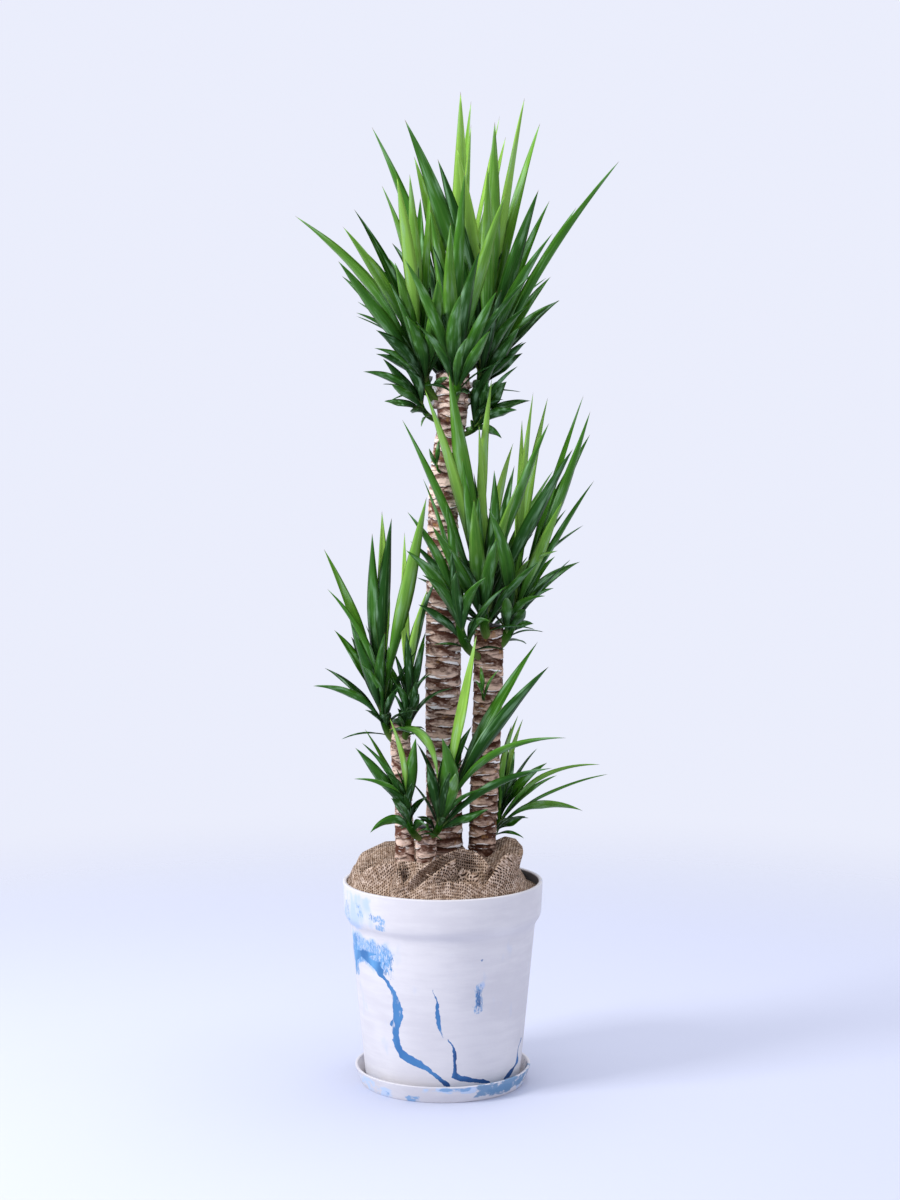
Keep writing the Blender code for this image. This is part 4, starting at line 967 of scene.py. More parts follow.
class Blade:
    """A tapering folded leaf on a curve from the stem to its tip."""

    def __init__(self, head, share, tip, width, bow, face):
        on_axis = stem_point(head, share)
        out = Vector((tip.x - on_axis.x, tip.y - on_axis.y, 0.0)).normalized()
        self.root = on_axis + out * (ROOT_DEPTH * head["stem"] * MM)
        self.tip = tip
        self.width = width
        chord = tip - self.root
        self.length = chord.length
        self.profile = BLADE_PROFILE if self.length > SHORT_BLADE else SHORT_PROFILE
        lift = UP * BOW_UP - out * BOW_IN
        lift -= lift.project(chord)
        self.middle = (self.root + tip) / 2 + lift.normalized() * 2 * bow
        # the width runs round the stem at the root and turns part way to the eye further out
        inner = chord.cross(UP.cross(out)).normalized()
        inner = inner if inner.dot(UP - out) > 0 else -inner
        view = (EYE - tip).normalized()
        wanted = view if chord.y > 0 else -view
        wanted -= wanted.project(chord)
        self.inner_root = inner
        self.inner_tip = inner.lerp(wanted.normalized(), face).normalized()

    def frame(self, t):
        """Point, width direction and inner side of the blade at t."""
        along_it = (self.middle - self.root) * (1 - t) + (self.tip - self.middle) * t
        inner = self.inner_root.lerp(self.inner_tip, min(1.0, TWIST * t))
        inner = (inner - inner.project(along_it)).normalized()
        return bent(self.root, self.middle, self.tip, t), along_it.cross(inner).normalized(), inner

    def corners(self, grow=0.0, start=0.0):
        made = []
        for t, share in self.profile:
            middle, side, inner = self.frame(max(t, start))
            lift = inner * (FOLD * self.width * share)
            thick = inner * (0.5 * BLADE_THICK + grow)
            across = side * (0.5 * self.width * share + grow)
            made += [middle - across + lift, middle + thick, middle + across + lift, middle - thick]
        made.append(self.tip + (self.tip - self.middle).normalized() * grow)
        return made

    def room_taken(self):
        """Corners and faces of the blade with its clearance, without its root."""
        edges = ((0, 1), (0, 3), (2, 1), (2, 3))
        last = 4 * len(self.profile) - 4
        faces = [(0, 1, 3), (1, 2, 3)]
        for a in range(0, last, 4):
            for edge, ridge in edges:
                faces.append((a + edge, a + ridge, a + 4 + ridge))
                faces.append((a + edge, a + 4 + ridge, a + 4 + edge))
        faces += [(last + edge, last + ridge, last + 4) for edge, ridge in edges]
        return self.corners(CLEARANCE, BLADE_CLEAR_FROM), faces

    def share(self, t):
        """Width at t as a share of the widest."""
        peak = WIDEST_AT if self.length > SHORT_BLADE else SHORT_WIDEST_AT
        if t < peak:
            return ROOT_SHARE + (1 - ROOT_SHARE) * smooth(t / peak)
        return 1 - ((t - peak) / (1 - peak)) ** TAPER

    def fine(self, leaf, draw, tone):
        """Adds the smooth blade to the piece: a channel that clasps the stem and flattens out."""
        phase = draw.uniform(0, WAVE)
        waves = draw.uniform(*RIPPLES)
        chance = draw.random()
        sway = draw.uniform(-SWAY, SWAY) * self.width
        turned = math.radians(draw.uniform(-TURNED, TURNED))
        rings, down = [], []
        for k in range(BLADE_RINGS):
            t = k / BLADE_RINGS
            middle, side, inner = self.frame(t)
            middle = middle + side * (sway * math.sin(math.pi * t))
            angle = turned * smooth(TURN_EASE * t)
            cos, sin = math.cos(angle), math.sin(angle)
            side, inner = side * cos + inner * sin, inner * cos - side * sin
            half = 0.5 * self.width * self.share(t)
            fold = 2 * (FINE_FOLD + CLASP * (1 - smooth(CLASP_EASE * t)))
            wave = math.sin(waves * WAVE * t + phase)
            ripple = RIPPLE * self.width * wave * smooth(RIPPLE_EASE * t)
            ring = []
            for s, face in ROUND_BLADE:
                rise = fold * half * abs(s) ** CHANNEL + ripple * s * abs(s)
                rise += (RIB_THICK + (EDGE_THICK - RIB_THICK) * abs(s)) * (0.5 - face)
                ring.append(middle + side * (half * s) + inner * rise)
            rings.append(ring)
            down += [t] * len(ring)
        points, faces = skin(rings)
        last = faces.pop()[0]
        faces += [(last + i, last + j, len(points)) for i, j in neighbours(len(ROUND_BLADE))]
        points.append(self.tip)
        down.append(1.0)
        over, under = ([row[i] for row in ROUND_BLADE] * BLADE_RINGS + [0.0] for i in (0, 1))
        leaf.add(points, faces, tone=tone, down=down, over=over, under=under, chance=chance)


def box_of(points):
    """The least and the greatest x, y and z."""
    return [[pick(p[k] for p in points) for k in range(3)] for pick in (min, max)]


def apart(a, b):
    """Whether two boxes have room between them."""
    return any(a[1][k] < b[0][k] or b[1][k] < a[0][k] for k in range(3))


class Room:
    """What stands where, so that each new blade is kept clear of every other node."""

    def __init__(self):
        self.taken = []

    def add(self, node, corners, faces):
        self.taken.append((node, box_of(corners), BVHTree.FromPolygons(corners, faces)))

    def clear(self, node, blade):
        box = box_of(blade.corners(CLEARANCE))
        tree = None
        for other, taken_box, taken in self.taken:
            if other == node or apart(box, taken_box):
                continue
            tree = tree or BVHTree.FromPolygons(*blade.room_taken())
            if tree.overlap(taken):
                return False
        return True


def fitted(room, name, head, share, tip, width, bow, face):
    """The blade turned aside as little as keeps it clear, or None."""
    for shorter in SHORTER:
        for far in ASIDE:
            for way in WAYS if far else WAYS[:1]:
                end = head["heart"].lerp(tip, shorter) + Vector(way) * far
                blade = Blade(head, share, end, width, bow, face)
                if room.clear(name, blade):
                    room.add(name, *blade.room_taken())
                    return blade
    return None


def stem_rings(head, grow=0.0, rings=STEM_PROFILE, sides=STEM_SIDES):
    """Rings round a stem, from inside the cane to a blunt end above the heart."""
    made = []
    for share, wide in rings:
        middle = stem_point(head, share)
        ahead = stem_point(head, share + STEM_STEP) - stem_point(head, share - STEM_STEP)
        radius = head["stem"] * MM * wide + grow
        made.append([middle + way * radius for way in spokes(ahead, (0.3, 1, 0.1), sides)])
    return made


def fill_tips(head, draw):
    """Tips for the leaves on the side turned away, by the golden angle."""
    count, first, last, length = head["fill"]
    for k in range(count):
        bearing = math.radians(first + (last - first) * ((k + 0.5) * GOLDEN % 1.0))
        rise = STEEPEST + (FLATTEST - STEEPEST) * (k + 0.5) / count
        rise = math.radians(rise + draw.uniform(-RISE_SPREAD, RISE_SPREAD))
        reach = length * CM * draw.uniform(*REACH_SPREAD)
        reach *= FLAT_REACH + (1 - FLAT_REACH) * math.sin(rise)
        yield head["heart"] + heading(bearing, rise) * reach


def root_shares(wanted):
    """How far up its stem each blade is rooted: the flattest lowest, the steepest at the top."""
    shares = [0.0] * len(wanted)
    for name, head in HEADS.items():
        own = [k for k, row in enumerate(wanted) if row[0] == name]
        own.sort(key=lambda k: (wanted[k][1] - head["heart"]).normalized().z)
        for rank, k in enumerate(own):
            shares[k] = LEAFY_FROM + (LEAFY_TO - LEAFY_FROM) * rank / max(1, len(own) - 1)
    return shares


def plan_leaves():
    """Every head's blades with their tones, the seen ones first, each clear of all other nodes."""
    room = Room()
    for name, rows in CANES.items():
        room.add(name, *sleeve(rows, SLEEVE + SLEEVE_CLEARANCE))
    rings = []
    for r in CLOTH_RINGS:
        ring = circle(r, CLOTH_CLEARANCE, GRID_SIDES)
        rings.append([p + UP * cloth_height(p.x, p.y) for p in ring])
    rings.append(circle(RIM_R + CLOTH_CLEARANCE, RIM_TOP, GRID_SIDES))
    rings.append(circle(SAUCER_FOOT_R, 0.0, GRID_SIDES))
    room.add("burlap", *skin(rings))
    for name, head in HEADS.items():
        for end in ("foot", "heart"):
            head[end] = Vector(head[end]) * CM
        room.add(name, *skin(stem_rings(head, CLEARANCE)))
    draw = random.Random(FILL_SEED)
    tints = random.Random(TINT_SEED)
    wanted, tones = [], []
    for name, head in HEADS.items():
        for *tip, width, bow, tone in head["leaves"]:
            wanted.append((name, seen(*tip), width * MM, bow * CM, draw.uniform(*FACING[0])))
            tones.append((tone + TONE_LIFT) / TONES)
    for name, head in HEADS.items():
        for tip in fill_tips(head, draw):
            width = draw.uniform(*FILL_WIDTH) * MM * min(1.0, head["fill"][3] / FULL_WIDTH_FROM)
            wanted.append((name, tip, width, FILL_BOW * CM, draw.uniform(*FACING[1])))
            tones.append(tints.uniform(*FILL_SHADE_TONES))
    blades = {name: [] for name in HEADS}
    for (name, *shape), share, tone in zip(wanted, root_shares(wanted), tones):
        place_blade(room, blades, name, share, shape, tone)
    add_leaves(room, blades)
    return blades


def place_blade(room, blades, name, share, shape, tone):
    """Adds a blade and its tone to a head's own, if there is room for it."""
    blade = fitted(room, name, HEADS[name], share, *shape)
    if blade:
        blades[name].append((blade, tone))


def add_leaves(room, blades):
    """Short leaves between the others of each head, and round the foot of its stem."""
    draw = random.Random(ADDED_SEED)
    for name, head in HEADS.items():
        reach = sum(b.length for b, _ in blades[name]) / len(blades[name])
        if reach < LEAST_REACH or name in BARE:
            continue
        turn = draw.uniform(0, 360)
        for count, shares, rises, reaches, widths, tones in ADDED:
            for k in range(count):
                turn += SCAR_TURN
                at = (k + 0.5) / count
                share = shares[0] + (shares[1] - shares[0]) * at
                rise = rises[0] + (rises[1] - rises[0]) * at + draw.uniform(-ADDED_RISE, ADDED_RISE)
                bearing = turn + draw.uniform(-ADDED_TURN, ADDED_TURN)
                way = heading(math.radians(bearing), math.radians(rise))
                tip = stem_point(head, share) + way * reach * draw.uniform(*reaches)
                width = draw.uniform(*widths) * MM * min(1.0, ADDED_SLIM + ADDED_GROW * reach)
                shape = (tip, width, ADDED_BOW, draw.uniform(*ADDED_FACING))
                place_blade(room, blades, name, share, shape, draw.uniform(*tones))
    for name, rows in CLOSING.items():
        for share, *tip, width, bow, tone in rows:
            shape = (seen(*tip), width * MM, bow * CM, CLOSING_FACING)
            place_blade(room, blades, name, share, shape, tone / TONES)


def make_head(name, head, blades, finish):
    """A leafy head: its stem and its blades as one piece."""
    draw = random.Random(name)
    leaf = Skin(*LEAF_VALUES)
    steps = [STEM_PROFILE[-1][0] * k / (STEM_RINGS - 1) for k in range(STEM_RINGS)]
    rings = [(t, between(STEM_PROFILE, t)) for t in steps]
    points, faces = skin(stem_rings(head, -STEM_SLIMMER * head["stem"] * MM, rings, FINE_STEM_SIDES))
    round_it = [(k, i) for k in range(STEM_RINGS) for i in range(FINE_STEM_SIDES)]
    turn = math.tau / FINE_STEM_SIDES
    stripes = [math.sin(STEM_STRIPES * i * turn + STEM_SWIRL * k) for k, i in round_it]
    rises = [STEM_DOWN[0] + STEM_DOWN[1] * k / STEM_RINGS for k, _ in round_it]
    leaf.add(points, faces, tone=STEM_TONE, down=rises, over=stripes, under=0.0, chance=draw.random())
    for blade, tone in blades:
        if blade.length > BROAD_FROM:
            blade.width *= BROADER.get(name, 1.0)
        blade.fine(leaf, draw, tone)
    leaf.piece(f"leaves_{name}", finish, "leaf", name)


def leaf_finish():
    """Glossy green with fine lines along, a painted sheen on the open parts, painted shade towards the
    root, a paler base and a dry tip.
    """
    s = Shader("leaf", 0.36, 0.14)
    s.principled.inputs["Specular Tint"].default_value = (*LEAF_GLANCE, 1)
    tone, down, over, under, chance = (s.attribute(name) for name in LEAF_VALUES)
    lane = chance * 57.0
    lines = s.noise(s.vector(over * 13.0, down * 1.5, lane), 1.0, 3.0)
    patches = s.noise(s.vector(over * 1.3, down * 5.0, lane), 1.0)
    shade = tone + lines.swing(0.38) + patches.swing(0.40) + chance.swing(0.20)
    # Painted shade: each blade is darker towards its root, deep in the crown, and the stems take it too
    # through their own down values
    shade = s.math("ADD", shade, s.band(down, 0.05, 0.6, -0.30, 0.10), clamp=True)
    colour = s.ramp(shade, LEAF_TONES)
    # Painted sheen: pale grey-green patches on the open parts of the blades, standing in for the gloss of
    # light on them
    painted_sheen = s.band(patches + lines * 0.3, 0.64, 0.92, 0.0, 0.62) * s.band(down, 0.15, 0.5)
    far = abs(over)
    for share, tint in (
        (painted_sheen, LEAF_PAINTED_SHEEN),
        (s.band(far, 0.10, 0.02, 0.0, 0.12), LEAF_RIB),
        (s.band(far, 0.92, 1.0, 0.0, 0.18), LEAF_RIB),
        (under * 0.35, LEAF_UNDER),
        (s.band(down, 0.13, 0.0, 0.0, 0.6), LEAF_BASE),
        (s.band(down, 0.975, 0.995), LEAF_TIP),
    ):
        colour = s.mix(share, colour, tint)
    rough = s.band(patches, 0.3, 0.7, 0.30, 0.46)
    return s.finish(base_color=colour, roughness=rough, normal=s.bump(lines, 0.0006, 0.5))


# Bark


def blend(table, i, k, j, a, b):
    """Between a table's values at columns i and k, by a, and at rows j and the next, by b."""
    low = table[j, i] * (1 - a) + table[j, k] * a
    high = table[j + 1, i] * (1 - a) + table[j + 1, k] * a
    return low * (1 - b) + high * b


def blotches(turn, height, seed, around, pitch):
    """Smooth random values from -1 to 1 on a grid that closes round the cane."""
    u = turn / math.tau * around
    v = (height - height.min()) / pitch
    table = np.random.default_rng(seed).uniform(-1, 1, (int(v.max()) + 2, around))
    i, j = np.floor(u).astype(int), np.floor(v).astype(int)
    a, b = u - i, v - j
    return blend(table, i % around, (i + 1) % around, j, a * a * (3 - 2 * a), b * b * (3 - 2 * b))


def layered(rows, turn, height, seed):
    """Blotches added up, one layer for each row of height, number round and pitch."""
    layers = (blotches(turn, height, seed + k, *grid) for k, (_, *grid) in enumerate(rows))
    return sum(row[0] * layer for row, layer in zip(rows, layers))


def bell(away, reach):
    """1 at no distance, and down to nothing past the reach."""
    return np.exp(-((away / reach) ** 2))


def unit(value):
    """The value held between 0 and 1."""
    return np.clip(value, 0, 1)


def leaf_scars(name, turn, height, top, seed):
    """Relief, pale crescents, dark grooves, painted shadow under each lip, and tone of the leaf scars,
    which wind round the cane.
    """
    draw = random.Random(name)
    rise = np.full_like(turn, PLAIN_RISE)
    pale = np.zeros_like(turn)
    dark = np.zeros_like(turn)
    tone = np.full_like(turn, PLAIN_TONE)
    waver = layered(SCAR_WAVER, turn, height, seed)
    breaks = blotches(turn, height, seed + 2, 30, 0.006)
    z = BARK_FROM - SCAR_START
    angle = draw.uniform(0, math.tau)
    while z < top + SCARS_PAST:
        half = math.radians(draw.uniform(*SCAR_HALF))
        lift = draw.uniform(*SCAR_LIFT)
        thick = MM * draw.uniform(*CRESCENT[name]) * (PINK_THIN if z > PINK_FROM else 1.0)
        middle = draw.uniform(-CRESCENT_ASIDE, CRESCENT_ASIDE)
        wide = draw.uniform(*CRESCENT_SHARE)
        own = draw.uniform(-TONE_SPREAD, TONE_SPREAD)
        tilt = draw.uniform(*SCAR_TILT)
        share = ((turn - angle + math.pi) % math.tau - math.pi) / half
        above = height - (z + lift * share**2 + tilt * share + waver)
        body = unit(1 - share**2)
        reach = SCAR_REACH * draw.uniform(*REACH_RANGE) * body**0.6 + 1e-6
        within = (body > 0) & (above > 0) & (above < reach)
        q = unit(above / reach)
        rise[within] = (1 - q**0.8)[within]
        tone[within] = (0.95 - 0.8 * q + own)[within]
        lens = unit(1 - ((share - middle) / wide) ** 2)
        rag = np.maximum(above - 0.4 * thick * lens, 0) * 0.45 * breaks
        crescent = unit((thick * lens - above + rag) / SCAR_EDGE) * (lens > 0)
        thin = bell(above, SCAR_LINE) * unit(0.6 + breaks) * body**0.5
        pale[within] = np.maximum(crescent, 0.8 * thin)[within]
        groove = bell(above - thick * lens - 0.8 * MM, SCAR_LINE)
        dark[within] = (0.7 * groove * unit(0.5 + breaks))[within]
        # Painted shadow: just under each scar's lip the bark sinks and is darkened as the lip's shadow
        under = bell(above + 1.0 * MM, 1.2 * MM) * body**0.4 * (above <= 0)
        dark = np.maximum(dark, under * unit(1.05 + 0.4 * breaks))
        rise = np.where(above <= 0, rise * (1 - under), rise)
        z += SCAR_ADVANCE * draw.uniform(*ADVANCE_RANGE)
        angle += math.radians(SCAR_TURN + draw.uniform(-TURN_SPREAD, TURN_SPREAD))
    low, high = (blotches(turn, height + 0.4 * waver, seed + k, *row) for k, row in WRINKLES)
    dark = np.maximum(dark, 0.75 * unit((low - 0.35) / 0.35) * (pale < 0.4))
    pale = np.maximum(pale, 0.45 * unit((high - 0.45) / 0.3))
    return rise, pale, dark, tone


def fine_cane(name, rows, finish, seed):
    """A cane with its leaf scars as relief, over a plain buried foot and up to its cut top."""
    top = rows[-1][2]
    count = max(FEWEST_SIDES, round(math.tau * max(row[3] for row in rows) / BARK_SIDE))
    levels = [BURIED, BURIED + FOOT_RING_UP]
    shown = int((top - CUT_ROOM - BARK_FROM) / BARK_STEP)
    levels += [BARK_FROM + BARK_STEP * k for k in range(shown)] + [top - depth for depth in CUT_RINGS]
    turn, height = np.meshgrid(np.arange(count) * math.tau / count, np.array(levels))
    rise, pale, dark, tone = leaf_scars(name, turn, height, top, seed)
    swell = SCAR_RELIEF * (rise - LEVEL_RISE) + layered(BARK_ROUGH, turn, height, seed + 3)
    swell += LIP_HEIGHT * pale - GROOVE_DEPTH * dark
    trim = unit((top - height) / CUT_EDGE)
    middles = np.array([(*along(rows, z)[0].xy, along(rows, z)[1]) for z in levels])
    swell *= unit((height - BARK_FROM) / RELIEF_EASE) * trim
    radius = middles[:, 2:] + swell - CUT_ROUND * (1 - trim)
    x = middles[:, 0:1] + radius * np.cos(turn)
    y = middles[:, 1:2] + radius * np.sin(turn)
    points = [Vector(p) for p in np.stack((x, y, height), axis=2).reshape(-1, 3)]
    faces = skin([points[k : k + count] for k in range(0, len(points), count)])[1]
    bark = Skin(*BARK_VALUES)
    warm = [between(WARMTH[name], z) for z in levels for _ in range(count)]
    pale, dark, tone = (values.ravel().tolist() for values in (pale, dark, tone))
    bark.add(points, faces, pale=pale, dark=dark, tone=tone, warm=warm)
    bark.piece(f"bark_{name}", finish, "bark", name)


def make_stubs(finish):
    """Short cut stubs on the tall cane, with pale ends."""
    stubs = Skin(*BARK_VALUES)
    for seed, (foot, end, wide, narrow) in enumerate(STUBS):
        foot, end = Vector(foot) * CM, Vector(end) * CM
        ways = spokes((end - foot).normalized(), (0.2, 0.3, 1.0), STUB_SIDES)
        rings, pale, tone = [], [], []
        for t, grow, light in STUB_PROFILE:
            radius = (wide + (narrow - wide) * t) * MM * grow
            ring = []
            for way, (x, y, _) in zip(ways, circle(1, 0, STUB_SIDES)):
                rough = 1 + 0.12 * noise.noise(Vector((3 * x, 3 * y, 4 * t + 9 * seed)))
                ring.append(foot.lerp(end, t) + way * radius * rough)
                tone.append(0.5 + 0.4 * noise.noise(Vector((2 * x, 2 * y, 9 * t + 5 * seed))))
            rings.append(ring)
            pale += [light] * STUB_SIDES
        corners, faces = skin(rings)
        dark = [0.25 * (1 - p) for p in pale]
        stubs.add(corners, faces, pale=[0.75 * p for p in pale], dark=dark, tone=tone, warm=1.0)
    stubs.piece("bark_stubs", finish, "bark")


def bark_finish():
    """Fibrous bark: each scar pale above its torn lip and brown further up, dark in the grooves, with
    painted shadow under each lip and painted shade towards the cloth.
    """
    s = Shader("bark", 0.85, 0.12)
    place = s.place()
    pale, dark, tone, warm = (s.attribute(name) for name in BARK_VALUES)
    fibres = s.noise(place, 120.0, 4.0, 0.65, 0.5, squash=2.8)
    spots = s.noise(place, 48.0, 3.0, 0.65, squash=1.5)
    broad = s.noise(place, 13.0)
    shade = tone + s.band(fibres, 0.30, 0.70, -0.13, 0.13) + s.band(spots, 0.32, 0.68, -0.17, 0.15)
    # Painted shade: the bark darkens towards the cloth, less on the pinker canes
    painted_foot_shade = s.band(s.split(place)[2], *FOOT_SHADE, -0.22, 0.0)
    shade = s.band(shade + painted_foot_shade * s.math("SUBTRACT", 0.85, warm, clamp=True), 0.12, 0.92)
    pink = s.mix(s.band(shade, -0.10, 0.85), *BARK_WARM)
    pink_share = s.math("ADD", warm, s.band(broad, 0.35, 0.65, -0.2, 0.2), clamp=True)
    colour = s.mix(pink_share, s.mix(shade, *BARK_COOL), pink)
    colour = s.mix(s.band(s.noise(place, 75.0), 0.62, 0.70) * 0.6, colour, BARK_OCHRE)
    # Dark lines, with painted shadow under each lip
    groove = s.math("MULTIPLY", dark, s.band(spots, 0.3, 0.55, 0.6, 1.0), clamp=True)
    colour = s.mix(groove, colour, BARK_DARK_AND_SHADOW)
    lip = s.band(pale + s.band(fibres, 0.3, 0.7, -0.16, 0.16), 0.35, 0.62)
    colour = s.mix(lip, colour, s.mix(s.band(spots, 0.30, 0.50), *BARK_LIP))
    return s.finish(base_color=colour, normal=s.bump(fibres + spots, 0.0010, 0.8))


# Cloth


def crumpled(x, y, seed, pitch):
    """Creased random values from -1 to 1 over the flat cloth."""
    span = 4 * SOIL_R
    creases = blotches((x + span / 2) / span * math.tau, y, seed, round(span / pitch), pitch)
    return 1 - CREASE * abs(creases)


def near_crest(x, y, crest, lean):
    """Distance from a fold's crest, the crest's height and share of its lean, and the side of it."""
    nodes = []
    for *node, level in crest:
        share = min(1.0, max(0.0, (level - LEANING[0]) / (LEANING[1] - LEANING[0])))
        nodes.append((node[0] - lean[0] * share, node[1] - lean[1] * share, level, share))
    best = np.full_like(x, np.inf)
    level, give, side = np.zeros((3, *x.shape))
    for a, b in zip(nodes, nodes[1:]):
        low, span = [a[i] * CM for i in (0, 1)], [(b[i] - a[i]) * CM for i in (0, 1)]
        t = unit(((x - low[0]) * span[0] + (y - low[1]) * span[1]) / (span[0] ** 2 + span[1] ** 2))
        off = (x - low[0] - span[0] * t, y - low[1] - span[1] * t)
        away = np.hypot(*off)
        leaning = (off[0] * lean[0] + off[1] * lean[1]) / (away + 1e-6) / (math.hypot(*lean) + 1e-6)
        closer = away < best
        best = np.where(closer, away, best)
        level = np.where(closer, (a[2] + (b[2] - a[2]) * t) * CM, level)
        give = np.where(closer, a[3] + (b[3] - a[3]) * t, give)
        side = np.where(closer, leaning, side)
    return best, level, give, side


def cloth_shape(x, y):
    """Where each point of the flat cloth lies: on a mound, lifted to folds that lean over, in pockets."""
    r = np.minimum(1.0, np.hypot(x, y) / SOIL_R)
    base = CLOTH_LOW + CLOTH_RISE * (1 - r**CLOTH_FALL)
    calm = unit((1 - r) / FOLD_EDGE) ** 0.5
    height = base.copy()
    for seed, (pitch, swing) in enumerate(CRUMPLE):
        height += swing * crumpled(x, y, seed, pitch) * unit((1 - r) / CRUMPLE_EDGE)
    for px, py, wide, deep, drop in POCKETS:
        height -= drop * CM * bell(x / CM - px, wide) * bell(y / CM - py, deep)
    moved = [x, y]
    for (ahead, behind), lean, *crest in FOLDS:
        best, level, give, side = near_crest(x, y, crest, lean)
        weight = bell(best, (behind + (ahead - behind) * unit(0.5 + side)) * CM)
        rise = np.maximum(level - base, 0) * calm
        height = np.maximum(height, height * (1 - weight) + (base + rise) * weight)
        moved = [old + along_it * CM * weight * give * calm for old, along_it in zip(moved, lean)]
    x, y = moved
    for px, py, pz, wide, reach in ROLLS:
        weight = np.exp(-(((x / CM - px) / wide) ** 4)) * bell(y / CM - py, reach)
        height = height * (1 - weight) + np.maximum(height, pz * CM) * weight
    height = np.maximum(height, np.interp(np.hypot(x, y), *zip(*SOIL_TOP)) + CLOTH_LIFT)
    return np.stack((x, y, height), axis=-1)


def laid_flat(grid, flat):
    """Places on the flat cloth for each point of the shaped one, so that lengths along it are kept."""
    early, late, whole = slice(0, -1), slice(1, None), slice(None)
    pairs = (
        ((whole, early), (whole, late)),
        ((early, whole), (late, whole)),
        ((early, early), (late, late)),
        ((early, late), (late, early)),
    )
    lengths = [np.linalg.norm(grid[b] - grid[a], axis=2) for a, b in pairs]
    flat = flat * CLOTH_SPREAD
    for _ in range(CLOTH_ROUNDS):
        move = np.zeros_like(flat)
        for (a, b), length in zip(pairs, lengths):
            step = flat[b] - flat[a]
            now = np.linalg.norm(step, axis=2) + 1e-9
            pull = step * (0.5 * (now - length) / now)[..., None]
            move[a] += pull
            move[b] -= pull
        flat += move * CLOTH_PULL
        around = (flat[:-2, 1:-1] + flat[2:, 1:-1] + flat[1:-1, :-2] + flat[1:-1, 2:]) / 4
        flat[1:-1, 1:-1] += CLOTH_EVEN * (around - flat[1:-1, 1:-1])
    return flat


def make_cloth(finish):
    """The cloth as rings of points, each looked up on a square grid of the shaped cloth."""
    half = round(SOIL_R / CLOTH_CELL) + CLOTH_SPARE
    ticks = np.arange(-half, half + 1) * CLOTH_CELL
    x, y = np.meshgrid(ticks, ticks)
    grid = cloth_shape(x, y)
    table = np.concatenate((grid, laid_flat(grid, np.stack((x, y), axis=-1))), axis=2)
    edge = RIM_R - LIP - GAP
    radii = [CLOTH_RING * k for k in range(1, int(SOIL_R / CLOTH_RING))] + [SOIL_R, edge, edge]
    flat = [(0.0, 0.0)] + [(p.x, p.y) for r in radii for p in circle(r, 0, CLOTH_SIDES)]
    i, j = (np.array(flat) / CLOTH_CELL + half).T
    a, b = (i - np.floor(i))[:, None], (j - np.floor(j))[:, None]
    i, j = np.floor(i).astype(int), np.floor(j).astype(int)
    rows = blend(table, i, i + 1, j, a, b)
    rows[-CLOTH_SIDES:, 2] -= CLOTH_TUCK
    rows[-2 * CLOTH_SIDES :, :2] = flat[-2 * CLOTH_SIDES :]
    points = [Vector(row[:3]) for row in rows]
    faces = [(0, 1 + i, 1 + j) for i, j in neighbours(CLOTH_SIDES)]
    for a in range(1, len(points) - CLOTH_SIDES, CLOTH_SIDES):
        b = a + CLOTH_SIDES
        faces += [(a + i, b + i, b + j, a + j) for i, j in neighbours(CLOTH_SIDES)]
    canes = [along(cane, CANES_CROSS) for cane in CANES.values()]
    gone = [any((p - m).xy.length < radius - UNDER_CANE for m, radius in canes) for p in points]
    faces = [face for face in faces if not all(gone[i] for i in face)]
    used = sorted({i for face in faces for i in face})
    order = {i: k for k, i in enumerate(used)}
    faces = [tuple(order[i] for i in face) for face in faces]
    warp, weft = ([float(rows[i][k]) for i in used] for k in (3, 4))
    cloth = Skin("warp", "weft")
    cloth.add([points[i] for i in used], faces, warp=warp, weft=weft)
    return cloth.piece("burlap_cloth", finish, "burlap", "burlap")


def tube(points, radius):
    """Rings of a thin tube through smoothed points."""
    line = [Vector(p) * CM for p in points]
    smoothed = []
    for before, a, b, after in zip(line[:1] + line, line, line[1:], line[2:] + line[-1:]):
        pull = a + b + (b - before) * THREAD_BEND + (a - after) * THREAD_BEND
        for t in (step / THREAD_STEPS for step in range(THREAD_STEPS)):
            smoothed.append(a.lerp(b, t) * (1 - t * (1 - t)) + pull * 0.5 * t * (1 - t))
    smoothed.append(line[-1])
    rings = []
    for k, p in enumerate(smoothed):
        ahead = (smoothed[min(k + 1, len(smoothed) - 1)] - smoothed[max(k - 1, 0)]).normalized()
        wide = radius * (THREAD_LEAST + THREAD_UNEVEN * noise.noise(p * THREAD_GRAIN))
        rings.append([p + way * wide for way in spokes(ahead, (0.3, 0.9, 0.2), THREAD_SIDES)])
    return rings


def make_threads(finish):
    """The loose threads at the cloth's edge, as one piece."""
    threads = Skin("warp", "weft")
    for radius, *points in THREADS:
        threads.add(*skin(tube(points, radius * MM)), warp=0.5 * THREAD, weft=0.5 * THREAD)
    return threads.piece("burlap_threads", finish, "burlap")


